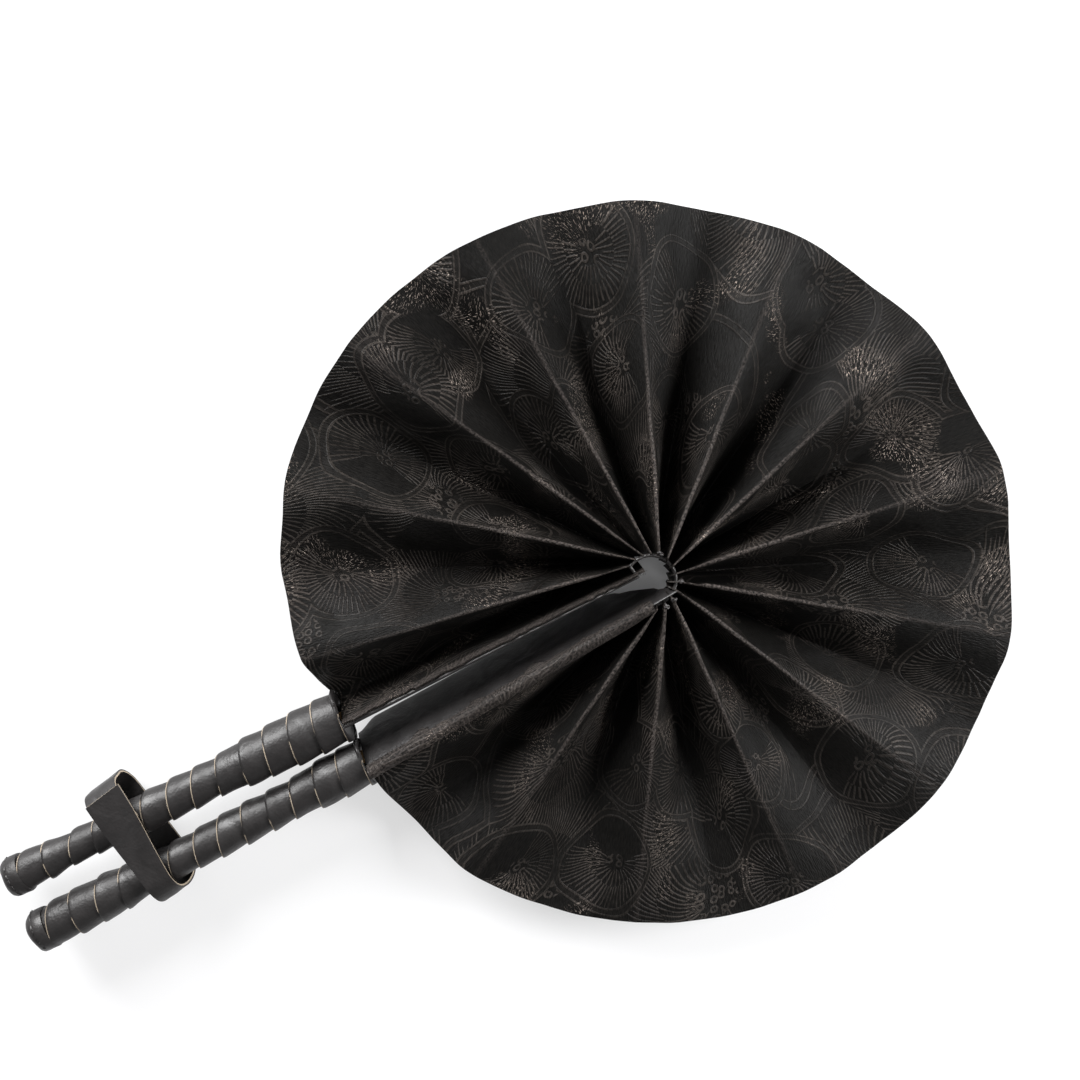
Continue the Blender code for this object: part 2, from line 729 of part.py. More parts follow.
def handle_pieces(handle, looks, parts, cutters):
    """Stick, guard, wrap and butt of one handle."""
    wood, leather, cloth = looks
    rod = stick(handle, f"stick_{handle.name}", 0, wood, parts)
    pocket = as_cutter(stick(handle, f"stick_space_{handle.name}", FIT_GAP, wood, cutters))
    cover = guard_cover(handle, leather, parts)
    wrap = grip_wrap(handle, leather, parts)
    for piece in (cover, wrap):
        cut(piece, pocket)
    butt = butt_fold(handle, leather, parts)
    end = leaf_end(handle, cloth, parts)
    return [rod, pocket, cover, wrap, butt, end]


def lowest_and_middle(pieces):
    """Lowest height and the middle of the plan of all pieces."""
    bpy.context.view_layer.update()
    graph = bpy.context.evaluated_depsgraph_get()
    corners = []
    for piece in pieces:
        seen = piece.evaluated_get(graph)
        mesh = seen.to_mesh()
        corners += [seen.matrix_world @ vertex.co for vertex in mesh.vertices]
        seen.to_mesh_clear()
    low = Vector([min(corner[i] for corner in corners) for i in range(3)])
    high = Vector([max(corner[i] for corner in corners) for i in range(3)])
    return Vector(((low.x + high.x) / 2, (low.y + high.y) / 2, low.z))


def main():
    for old in list(bpy.data.objects):
        bpy.data.objects.remove(old, do_unlink=True)
    parts = bpy.data.collections.new("folding_fan")
    cutters = bpy.data.collections.new("cutters")
    for collection in (parts, cutters):
        bpy.context.scene.collection.children.link(collection)
    leather = material("black_leather", (0.022, 0.020, 0.021), 0.5)
    cloth = material("black_brocade", (0.012, 0.011, 0.011), 0.6)
    wood = material("palm_wood", (0.42, 0.27, 0.14), 0.7)
    cotton = material("black_thread", (0.02, 0.018, 0.018), 0.7)

    base = empty("fan_base", Matrix.Identity(4), None, parts)
    joints = joint_empties(base, parts)
    handle_b = joints[CREASES + 1]
    pieces = []
    for handle, carrier in ((HANDLE_A, base), (HANDLE_B, handle_b)):
        for piece in handle_pieces(handle, (wood, leather, cloth), parts, cutters):
            hold(piece, carrier)
            pieces.append(piece)
    for panel in range(1, CREASES + 1):
        piece = leaf_panel(panel, cloth, parts)
        hold(piece, joints[min(panel + 1, CREASES)])  # handle B carries no free panel, so the last valley has two
        pieces.append(piece)
    keeper = keeper_band(leather, parts)
    place = keeper.matrix_world.to_translation()
    turn = Vector((0, 0, 1)).rotation_difference(keeper_slide()).to_matrix().to_4x4()
    slide = empty("axis_keeper", Matrix.Translation(place) @ turn, base, parts)
    bpy.context.view_layer.update()
    hold(keeper, slide)
    thread = gather_thread(cotton, parts)
    hold(thread, base)
    pieces += [keeper, thread]
    shown = [piece for piece in pieces if not piece.hide_render]
    base.location = -lowest_and_middle(shown)
    bpy.context.view_layer.update()


main()
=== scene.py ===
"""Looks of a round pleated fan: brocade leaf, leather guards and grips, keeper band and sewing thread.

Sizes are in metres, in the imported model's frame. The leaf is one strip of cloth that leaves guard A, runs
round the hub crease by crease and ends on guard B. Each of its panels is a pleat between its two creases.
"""

import json
import math
from functools import partial

import bpy
import numpy as np
from bpy.props import FloatProperty, FloatVectorProperty, PointerProperty
from mathutils import Matrix, Vector, noise

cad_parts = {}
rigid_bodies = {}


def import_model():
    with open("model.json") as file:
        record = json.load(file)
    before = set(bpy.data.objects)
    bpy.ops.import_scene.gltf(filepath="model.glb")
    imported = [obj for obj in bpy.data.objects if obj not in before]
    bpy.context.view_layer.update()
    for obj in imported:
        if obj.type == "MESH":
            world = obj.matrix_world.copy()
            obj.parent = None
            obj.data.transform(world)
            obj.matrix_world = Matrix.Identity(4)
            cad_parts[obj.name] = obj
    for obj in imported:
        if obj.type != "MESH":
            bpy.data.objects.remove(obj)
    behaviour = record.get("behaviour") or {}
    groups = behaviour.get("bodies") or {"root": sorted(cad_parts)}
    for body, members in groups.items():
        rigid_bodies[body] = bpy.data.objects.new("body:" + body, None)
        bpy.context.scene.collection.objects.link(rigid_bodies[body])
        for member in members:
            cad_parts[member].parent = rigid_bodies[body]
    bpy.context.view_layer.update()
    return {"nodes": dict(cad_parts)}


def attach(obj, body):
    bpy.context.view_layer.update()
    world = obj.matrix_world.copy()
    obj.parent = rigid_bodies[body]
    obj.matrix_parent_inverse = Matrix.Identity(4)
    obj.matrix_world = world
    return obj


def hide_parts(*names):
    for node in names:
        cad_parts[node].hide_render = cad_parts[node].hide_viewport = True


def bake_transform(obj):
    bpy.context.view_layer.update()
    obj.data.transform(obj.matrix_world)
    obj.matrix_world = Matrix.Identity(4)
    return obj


bl_info = {
    "name": "Folding fan looks",
    "version": (1, 0, 0),
    "blender": (4, 5, 0),
    "location": "3D View > Sidebar > Fan",
    "description": "Makes the cloth, leather, thread and studio of a round pleated fan",
    "category": "Object",
}

for old in list(bpy.data.objects):
    bpy.data.objects.remove(old, do_unlink=True)
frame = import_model()

MM = 0.001
HUB = Vector((0.0822, 68.4677, 17.2314)) * MM  # the hub's axis, at half the pleats' depth
HUB_SPOT = np.array(HUB)


def array(*values):
    return np.array(values, float)


# Sizes that the solids share.
RIM_RADIUS = 143 * MM
RIM_STRETCH = 3 * MM
RIM_STRETCH_ANGLE = math.radians(-57)
RIM_DRAWN_IN = 5 * MM
TIP_RADIUS = 12.5 * MM
TIP_SHARE = 0.72
PANEL_WIDTH = 34.5 * MM
LEAST_RIM_DEPTH = 1.5 * MM
RIDGES = 13
FIRST_RIDGE_ANGLE = math.radians(167)
SECOND_RIDGE_ANGLE = math.radians(140)
PLEAT_ANGLE = math.radians(23.52)
PLEAT_GROWTH = math.radians(0.45)
CREST_ROUNDING = 0.85
CREASES = 2 * RIDGES + 1
GUARD_INNER_Y = -5 * MM
GUARD_OUTER_Y = -131 * MM
GUARD_INNER_WIDTH = 32 * MM
GUARD_OUTER_WIDTH = 20 * MM
GUARD_INNER_THICKNESS = 2.2 * MM
GUARD_OUTER_THICKNESS = 3.4 * MM
HEM_REACH = 1.15 * MM
FIT_GAP = 0.3 * MM
WRAP_PITCH = 10.6 * MM
WRAP_STEP = 1.2 * MM
KEEPER_WIDTH = 14.4 * MM
KEEPER_LEATHER = 1.2 * MM
KEEPER_Y = -222 * MM
KEEPER_SLIDE_UP = 22 * MM
KEEPER_SKEW = math.radians(11)
KEEPER_SKEW_ROOM = 0.6 * MM
KEEPER_PAST_GRIP_A = 17.9 * MM
KEEPER_DEPTH = 25 * MM
KEEPER_BEND = 9 * MM
KEEPER_LAP = 9 * MM
KEEPER_FREE_EDGE = 2.2 * MM
THREAD_DIAMETER = 1.2 * MM
THREAD_BELOW_TIP = 3.5 * MM
THREAD_END_GAP = 1.2 * MM

# Sizes that only the cloth and the leather have.
RIDGE_RING_RADIUS = 10.8 * MM
RIDGE_RING_SHIFT = array(-0.8, -1.6, 0) * MM
VALLEY_RING_RADIUS = 9.6 * MM
VALLEY_RING_SHIFT = array(3.0, -2.2, 0) * MM
RING_SLANT = array(-6.5, -2.1) * MM  # how far the valleys' ring lies aside of the ridges' as the hub is seen
HUB_FOLD_RADIUS = 0.3 * MM
RIM_ROUND = 0.9 * MM
RIM_DIP = 0.4 * MM
KNIT = 0.07  # share of a panel over which its inner edge drops from the ridge to the valleys' circle


def linear(code):
    """Linear colour of an sRGB hex code."""
    parts = [int(code[i : i + 2], 16) / 255 for i in (1, 3, 5)]
    return tuple(c / 12.92 if c <= 0.04045 else ((c + 0.055) / 1.055) ** 2.4 for c in parts)


class FanLeafLooks(bpy.types.PropertyGroup):
    """Cloth of the leaf."""

    thickness: FloatProperty(
        name="Cloth thickness", description="Thickness of the stiffened cloth", default=0.45 * MM,
        unit="LENGTH",
    )
    fold_radius: FloatProperty(
        name="Fold radius", description="Radius of a crease near the hub", default=0.7 * MM, unit="LENGTH",
    )
    pucker: FloatProperty(
        name="Pucker", description="How far a panel's middle strays near the rim", default=1.0 * MM,
        unit="LENGTH",
    )
    crease_wander: FloatProperty(
        name="Crease wander", description="How far a crease strays from its line", default=0.3 * MM,
        unit="LENGTH",
    )
    fray_length: FloatProperty(
        name="Fibre length", description="Length of the longest loose fibre", default=1.5 * MM,
        unit="LENGTH",
    )
    fray_thickness: FloatProperty(
        name="Fibre thickness", description="Half the thickness of a loose fibre", default=0.06 * MM,
        unit="LENGTH",
    )
    motif: FloatProperty(
        name="Motif size", description="Mean spacing of the woven scallops", default=46 * MM, unit="LENGTH",
    )
    ground: FloatVectorProperty(
        name="Ground", description="Colour of the satin ground", subtype="COLOR", default=linear("#0a0908"),
    )
    figure: FloatVectorProperty(
        name="Figure", description="Colour of the woven figure", subtype="COLOR", default=linear("#34302d"),
    )
    metal_thread: FloatVectorProperty(
        name="Metal thread", description="Colour of the bright weft", subtype="COLOR",
        default=linear("#9c9087"),
    )


class FanLeatherLooks(bpy.types.PropertyGroup):
    """Leather of the guards, the grips and the band."""

    colour: FloatVectorProperty(
        name="Leather", description="Colour of the dyed side", subtype="COLOR", default=linear("#1e1c1c"),
    )
    raw_edge: FloatVectorProperty(
        name="Raw edge", description="Colour of a cut edge", subtype="COLOR", default=linear("#a39583"),
    )
    strip_thickness: FloatProperty(
        name="Strip thickness", description="Thickness of the wound strip", default=0.9 * MM, unit="LENGTH",
    )
    strip_lap: FloatProperty(
        name="Lap", description="Share of a turn's pitch hidden under the turn above", default=0.35,
    )
    wobble: FloatProperty(
        name="Wobble", description="How far the strip's edge strays", default=1.3 * MM, unit="LENGTH",
    )
    grain: FloatProperty(
        name="Grain", description="Width of one pebble of the grain", default=0.9 * MM, unit="LENGTH",
    )


class FanStudio(bpy.types.PropertyGroup):
    """Floor, lamps and camera."""

    floor: FloatVectorProperty(
        name="Floor", description="Colour of the floor", subtype="COLOR", default=linear("#f6f6f8"),
    )
    key_power: FloatProperty(
        name="Key lamp", description="Power of the softbox over the grips' side", default=19.0,
        unit="POWER",
    )
    side_power: FloatProperty(
        name="Side lamp", description="Power of the softbox opposite", default=13.0, unit="POWER",
    )
    top_power: FloatProperty(
        name="Top lamp", description="Power of the softbox overhead", default=1.5, unit="POWER",
    )
    lens: FloatProperty(name="Lens", description="Focal length in millimetres", default=44.9)


# Frame of the solids: guards, grips and creases.


class Handle:
    """Line and tilt of one handle's guard, and line and thickness of its grip, measured from the hub."""

    def __init__(self, name, guard_x, grip_x, tilts, leaf_side, length, radii):
        self.name = name
        self.inner = array(guard_x[0] * MM, GUARD_INNER_Y, 0)
        self.outer = array(guard_x[1] * MM, GUARD_OUTER_Y, 0)
        self.grip_top = Vector((grip_x[0] * MM, GUARD_OUTER_Y, 0))
        self.butt = Vector((grip_x[1] * MM, GUARD_OUTER_Y - length * MM, 0))
        self.length = length * MM
        self.tilts = [math.radians(tilt) for tilt in tilts]
        self.leaf_side = leaf_side
        self.radii = radii

    def edge(self, share, side):
        """Spot on an edge of the guard: side is -1 at its back and 1 at its front."""
        ends = []
        widths = (GUARD_INNER_WIDTH, GUARD_OUTER_WIDTH)
        for spot, tilt, width in zip((self.inner, self.outer), self.tilts, widths):
            ends.append(spot + array(math.cos(tilt), 0, math.sin(tilt)) * side * width / 2)
        return ends[0] + (ends[1] - ends[0]) * share

    def width(self, share):
        return np.linalg.norm(self.edge(share, 1) - self.edge(share, -1))

    def thickness(self, share):
        return GUARD_INNER_THICKNESS + (GUARD_OUTER_THICKNESS - GUARD_INNER_THICKNESS) * share

    def guard_point(self, share, across, out):
        """Spot at a share of the guard's length, across from its middle, and out on the leaf's side."""
        back, front = self.edge(share, -1), self.edge(share, 1)
        up = (front - back) / np.linalg.norm(front - back)
        leaf = array(-up[2], 0, up[0]) * self.leaf_side
        return (back + front) / 2 + up * across + leaf * out

    def radius(self, distance):
        """Mean grip radius at a distance from the grip's top."""
        spots = self.radii
        for (start, first), (stop, second) in zip(spots, spots[1:]):
            if distance <= stop * MM:
                share = max((distance / MM - start) / (stop - start), 0)
                return (first + (second - first) * (1 - math.cos(math.pi * share)) / 2) * MM
        return spots[-1][1] * MM

    def grip_matrix(self):
        """Frame with its origin at the grip's top and +Z running to the butt."""
        down = (self.butt - self.grip_top).normalized()
        side = Vector((0, 0, 1)).cross(down).normalized()
        turn = Matrix((side, down.cross(side), down)).transposed().to_4x4()
        return Matrix.Translation(self.grip_top + HUB) @ turn

    def centre(self, y):
        """Spot on the grip's line at a height of y."""
        return self.grip_top.lerp(self.butt, (y - self.grip_top.y) / (self.butt.y - self.grip_top.y))

    def widest(self, first_y, last_y):
        """Greatest reach of the wound grip from its line, between two heights."""
        steps = [first_y + (last_y - first_y) * i / 40 for i in range(41)]
        return max(self.radius(self.grip_top.y - y) for y in steps) + WRAP_STEP / 2


# Sideways places and lengths in millimetres, tilts in degrees, and grip radii at distances from its top.
HANDLE_A = Handle(
    "a", (-5.7, -3.3), (-3.3, -3.1), (85, 75), 1, 142,
    ((0, 10.0), (16, 10.1), (37, 9.2), (55, 7.3), (81, 7.4), (110, 6.3), (120, 6.2), (131, 7.1)),
)
HANDLE_B = Handle(
    "b", (6.3, 14.6), (16.9, 20.9), (84, 60), -1, 143.5,
    ((0, 9.1), (15, 9.1), (32, 7.4), (57, 7.6), (80, 6.9), (102, 7.6), (114, 8.5), (132, 8.4), (143, 7.6)),
)


def guard_crease(handle, side):
    """Inner and outer end of the crease along one edge of a guard."""
    spots = []
    for share in (0, 1):
        out = handle.thickness(share) / 2 + HEM_REACH
        spots.append(handle.guard_point(share, side * handle.width(share) / 2, out))
    return spots


FIRST_CREASE = guard_crease(HANDLE_A, -1)
LAST_BORDER = guard_crease(HANDLE_B, 1)


def crease_angle(crease):
    """Angle of a crease's outer end from +Y, positive towards handle A."""
    if crease in (1, CREASES + 1):
        spot = (FIRST_CREASE if crease == 1 else LAST_BORDER)[1]
        return math.atan2(-spot[0], spot[1])
    if crease == 2:
        return FIRST_RIDGE_ANGLE
    if crease % 2 == 0:
        steps = crease // 2 - 2
        return SECOND_RIDGE_ANGLE - PLEAT_ANGLE * steps - PLEAT_GROWTH / 2 * steps * steps
    return (crease_angle(crease - 1) + crease_angle(crease + 1)) / 2


def panel_chord(crease, radius, share):
    """Mean distance from a crease to its neighbours, on a circle round the hub."""
    turn = (crease_angle(crease - 1) - crease_angle(crease + 1)) / 2 * share
    return 2 * radius * math.sin(turn / 2)


def tip_height(crease):
    """How far a crease's inner end lies above or below the middle, from the panel's width."""
    return math.sqrt(PANEL_WIDTH**2 - panel_chord(crease, TIP_RADIUS, TIP_SHARE) ** 2) / 2


def around(radius, angle, height):
    """Spot round the hub, at an angle from +Y that is positive towards handle A."""
    return array(-radius * math.sin(angle), radius * math.cos(angle), height)


def crease_ends(crease):
    """Inner and outer end of a crease, from the hub."""
    if crease == 1:
        return FIRST_CREASE
    if crease == CREASES + 1:
        return LAST_BORDER
    sign = 1 if crease % 2 == 0 else -1
    angle = crease_angle(crease)
    chord = panel_chord(crease, RIM_RADIUS, 1)
    height = max(2 * chord / math.pi * math.sqrt(max(PANEL_WIDTH / chord - 1, 0)), LEAST_RIM_DEPTH)
    steps = min(crease - 1, CREASES + 1 - crease)
    stretch = RIM_STRETCH * math.cos(2 * (angle - RIM_STRETCH_ANGLE))
    radius = RIM_RADIUS + stretch - RIM_DRAWN_IN / 2 ** (steps - 1)
    tip = around(TIP_RADIUS, angle * TIP_SHARE, sign * tip_height(crease))
    return tip, around(radius, angle, sign * height)


def ridge_tip(crease, inset=0):
    """Inner end of a ridge in the cloth, or a spot inside it on the ring that the ridges' ends make."""
    ring = around(RIDGE_RING_RADIUS - inset, crease_angle(crease) * TIP_SHARE, tip_height(crease))
    return ring + RIDGE_RING_SHIFT


def cloth_ends(crease):
    """Ends of a crease in the cloth. The thread draws the ridges tighter together and the valleys aside."""
    tip, rim = crease_ends(crease)
    if 1 < crease <= CREASES:
        tip = ridge_tip(crease)
        if crease % 2:
            angle = crease_angle(crease) * TIP_SHARE
            tip = around(VALLEY_RING_RADIUS, angle, -tip_height(crease)) + VALLEY_RING_SHIFT
    return tip, rim


# Meshes.


def link(name, mesh, paint=None):
    made = bpy.data.objects.new(name, mesh)
    bpy.context.scene.collection.objects.link(made)
    if paint is not None:
        mesh.materials.clear()
        mesh.materials.append(paint)
    return made


def shell(name, middle, normals, thickness, paint, cloth_map=None, marks=None):
    """Closed thin sheet on a grid of points, rows by columns by 3, with smooth faces and flat cut edges.

    Marks are values for each point of the grid, or a pair of them for the outer and the inner side.
    """
    rows, columns = middle.shape[:2]
    lift = normals * thickness / 2
    spots = np.concatenate([(middle + lift).reshape(-1, 3), (middle - lift).reshape(-1, 3)])
    count = rows * columns
    index = np.arange(count).reshape(rows, columns)
    quads = np.stack([index[:-1, :-1], index[:-1, 1:], index[1:, 1:], index[1:, :-1]], -1).reshape(-1, 4)
    faces = [tuple(map(int, quad)) for quad in quads]
    faces += [tuple(int(i) + count for i in reversed(quad)) for quad in quads]
    smooth = len(faces)
    ring = [*index[0, :], *index[1:, -1], *index[-1, -2::-1], *index[-2:0:-1, 0]]
    ring = [int(i) for i in ring]
    for first, second in zip(ring, ring[1:] + ring[:1]):
        faces.append((second, first, first + count, second + count))
    mesh = bpy.data.meshes.new(name)
    mesh.from_pydata([tuple(spot) for spot in spots + HUB_SPOT], [], faces)
    mesh.update()
    corner = np.concatenate([normals.reshape(-1, 3), -normals.reshape(-1, 3)])
    corner_normals = []
    for polygon in mesh.polygons:
        flat = polygon.index >= smooth
        for i in polygon.vertices:
            corner_normals.append(tuple(polygon.normal) if flat else tuple(corner[i]))
    mesh.shade_smooth()
    mesh.normals_split_custom_set(corner_normals)
    if cloth_map is not None:
        both = np.concatenate([cloth_map.reshape(-1, 2)] * 2)
        layer = mesh.uv_layers.new(name="cloth")
        layer.data.foreach_set("uv", both[[v for face in faces for v in face]].ravel())
    for mark, values in (marks or {}).items():
        layer = mesh.attributes.new(mark, "FLOAT", "POINT")
        outer, inner = values if isinstance(values, tuple) else (values, values)
        layer.data.foreach_set("value", np.concatenate([outer.ravel(), inner.ravel()]))
    return link(name, mesh, paint)


def grid_normals(points):
    """Unit normals of a grid of points: along the columns crossed with along the rows."""
    over = np.gradient(points, axis=1)
    out = np.gradient(points, axis=0)
    normal = np.cross(over, out)
    return normal / np.maximum(np.linalg.norm(normal, axis=2, keepdims=True), 1e-12)


def ripple(u, v, size, seed):
    """Smooth noise from -1 to 1 over the cloth, the same wherever the cloth is the same."""
    flat = [noise.noise(Vector((a / size, b / size, seed))) for a, b in zip(u.ravel(), v.ravel())]
    return np.array(flat).reshape(u.shape) * 1.6


def fade(x):
    """Rises smoothly from 0 to 1."""
    x = np.clip(x, 0, 1)
    return x * x * (3 - 2 * x)


# The cloth's grid: shares of a crease's length, and shares of a piece's width, close together near a crease.
ROWS = np.linspace(0, 1, 53)
HALF_COLUMNS = [0, 0.004, 0.008, 0.012, 0.016, 0.021, 0.028, 0.04, 0.06, 0.09, 0.13, 0.18, 0.24, 0.31, 0.4]
COLUMNS = np.array(HALF_COLUMNS + [0.5] + [1 - x for x in HALF_COLUMNS[::-1]])
END_A_COLUMNS = np.concatenate([np.linspace(0, 0.9, 16), [0.93, 0.96, 0.98, 1]])
END_B_ARC = 10
END_B_FLAT = 8
GLUE_GAP = 0.5 * MM  # from a guard's face to the middle of the cloth that is glued on it
END_A_ROUND = 0.88  # share of the end's width past which it lifts off guard A towards the first panel
END_A_OVERRUN = 2.8 * MM  # how far the end on guard A runs past the guard at the hub
END_WORN = 0.6
# Torn places of the hem on guard B: distance from the hub, length and depth in millimetres.
HEM_TEARS = ((-106, 8, 3.6), (-82, 7, 2.6), (-56, 9, 4.0), (-34, 6, 2.2), (-9.5, 7, 3.0))
# The greyed line along a ridge is a painted highlight, where the crest catches the light.
RIDGE_HIGHLIGHT_WIDTH = 1.3 * MM  # width of the greyed line along a ridge
PUCKER_WAVE = 26 * MM  # from one pucker of the cloth to the next
SMALL_PUCKER_WAVE = 12 * MM
WANDER_WAVE = 22 * MM
RIM_WAVE = 17 * MM
RIM_UNEVEN = 0.3 * MM


def belt(chord, half, radius, shares):
    """Section of a sharp pleat from ridge to valley: arc, straight, arc, at shares of its length."""
    reach = math.hypot(chord, 2 * half - 2 * radius)
    turn = math.atan2(2 * half - 2 * radius, chord) + math.asin(min(2 * radius / reach, 1))
    bend = radius * turn
    straight = math.sqrt(max(reach**2 - 4 * radius**2, 0))
    total = 2 * bend + straight
    along, height = [], []
    for share in shares:
        length = share * total
        flipped = length > total / 2
        if flipped:
            length = total - length
        angle = min(length, bend) / radius
        x = radius * math.sin(angle)
        z = half - radius + radius * math.cos(angle)
        rest = max(length - bend, 0)
        x += rest * math.cos(turn)
        z -= rest * math.sin(turn)
        along.append(chord - x if flipped else x)
        height.append(-z if flipped else z)
    return np.array(along), np.array(height)


def end_a_grid(lengths):
    """Points and cloth map of the end glued up guard A's leaf side, from its cut edge to the first crease."""
    grid = np.zeros((len(ROWS), len(END_A_COLUMNS), 3))
    cloth = np.zeros((len(ROWS), len(END_A_COLUMNS), 2))
    for i, share in enumerate(ROWS):
        width, thick = HANDLE_A.width(share), HANDLE_A.thickness(share)
        ragged = 0.5 + 0.6 * noise.noise(Vector((share * 34, 3.1, 0)))
        ragged += 0.6 * noise.noise(Vector((share * 90, 7.7, 0)))
        front = width / 2 + (0.9 - ragged * 1.5) * MM
        for j, q in enumerate(END_A_COLUMNS):
            across = front + (-width / 2 - front) * q
            lift = fade((q - END_A_ROUND) / (1 - END_A_ROUND))
            crown = max(1 - abs(across / (width / 2 + 1.5 * MM)) ** 6, 0) ** 0.5
            out = thick / 2 * (crown + (1 - crown) * lift) + GLUE_GAP + (HEM_REACH - GLUE_GAP) * lift
            grid[i, j] = HANDLE_A.guard_point(share, across, out)
            grid[i, j, 1] += END_A_OVERRUN * fade(1 - share * 25) * (1 - lift)
            cloth[i, j] = (-(across + width / 2), share * lengths[0])
        grid[i, -1] = FIRST_CREASE[0] + (FIRST_CREASE[1] - FIRST_CREASE[0]) * share
    return grid, cloth


def panel_grid(panel, looks, lengths):
    """Points and cloth map of one panel: a sharp pleat at the hub that opens to a wave at the rim."""
    near, far = cloth_ends(panel), cloth_ends(panel + 1)
    grid = np.zeros((len(ROWS), len(COLUMNS), 3))
    cloth = np.zeros((len(ROWS), len(COLUMNS), 2))
    falls = panel % 2 == 0
    for i, share in enumerate(ROWS):
        first = near[0] + (near[1] - near[0]) * share
        last = far[0] + (far[1] - far[0]) * share
        chord = math.hypot(*(last - first)[:2])
        half = abs(first[2] - last[2]) / 2 - looks.thickness / 2
        sign = 1 if first[2] > last[2] else -1
        soft = (CREST_ROUNDING + 0.15 * share**4) * share * share * (3 - 2 * share)
        fold = HUB_FOLD_RADIUS + (looks.fold_radius - HUB_FOLD_RADIUS) * fade(share * 9)
        along, height = belt(chord, half, fold, COLUMNS)
        along = along * (1 - soft) + chord * COLUMNS * soft
        height = height * (1 - soft) + half * np.cos(math.pi * COLUMNS) * soft
        grid[i] = first + (last - first) * (along / chord)[:, None]
        grid[i, :, 2] = (first[2] + last[2]) / 2 + sign * height
        if 1 < panel < CREASES:
            down = COLUMNS if falls else 1 - COLUMNS
            ridge, valley = (near, far) if falls else (far, near)
            drop = max(np.hypot(*ridge[0][:2]) - np.hypot(*(valley[0][:2] + RING_SLANT)), 0)
            inward = drop * (fade(down / KNIT) - down) * fade(1 - share * 14)
            spots = grid[i, :, :2]
            from_hub = np.linalg.norm(spots, axis=1, keepdims=True)
            grid[i, :, :2] = spots - spots / from_hub * inward[:, None]
        cloth[i, :, 0] = (panel - 1 + COLUMNS) * PANEL_WIDTH
        cloth[i, :, 1] = share * (lengths[panel - 1] + (lengths[panel] - lengths[panel - 1]) * COLUMNS)
    return grid, cloth


def end_b_grid(lengths):
    """Points and cloth map of the hem: round guard B's front edge, with a torn edge on the leather."""
    count = 1 + END_B_ARC + END_B_FLAT
    grid = np.zeros((len(ROWS), count, 3))
    cloth = np.zeros((len(ROWS), count, 2))
    for i, share in enumerate(ROWS):
        width, thick = HANDLE_B.width(share), HANDLE_B.thickness(share)
        y = (GUARD_INNER_Y + (GUARD_OUTER_Y - GUARD_INNER_Y) * share) / MM
        depth = 1.7 + 0.8 * noise.noise(Vector((y / 5, 1.3, 0))) + 0.5 * noise.noise(Vector((y / 2, 5.3, 0)))
        for spot, long, deep in HEM_TEARS:
            depth += deep * max(1 - (abs(y - spot) / (long / 2)) ** 1.6, 0)
        lump = 1 + 0.13 * noise.noise(Vector((y / 2.6, 9.1, 0)))
        start, flat = thick / 2 + HEM_REACH, thick / 2 + GLUE_GAP
        travelled = 0
        for j in range(count):
            if j <= END_B_ARC:
                turn = math.pi * j / END_B_ARC
                out = math.cos(turn) * (start if j <= END_B_ARC / 2 else flat)
                across = width / 2 + math.sin(turn) * start * 0.8 * lump
            else:
                out = -flat + 0.1 * MM
                across = width / 2 - depth * MM * (j - END_B_ARC) / END_B_FLAT
            grid[i, j] = HANDLE_B.guard_point(share, across, out)
            if j:
                travelled += np.linalg.norm(grid[i, j] - grid[i, j - 1])
            cloth[i, j] = (CREASES * PANEL_WIDTH + travelled, share * lengths[-1])
        grid[i, 0] = LAST_BORDER[0] + (LAST_BORDER[1] - LAST_BORDER[0]) * share
    return grid, cloth


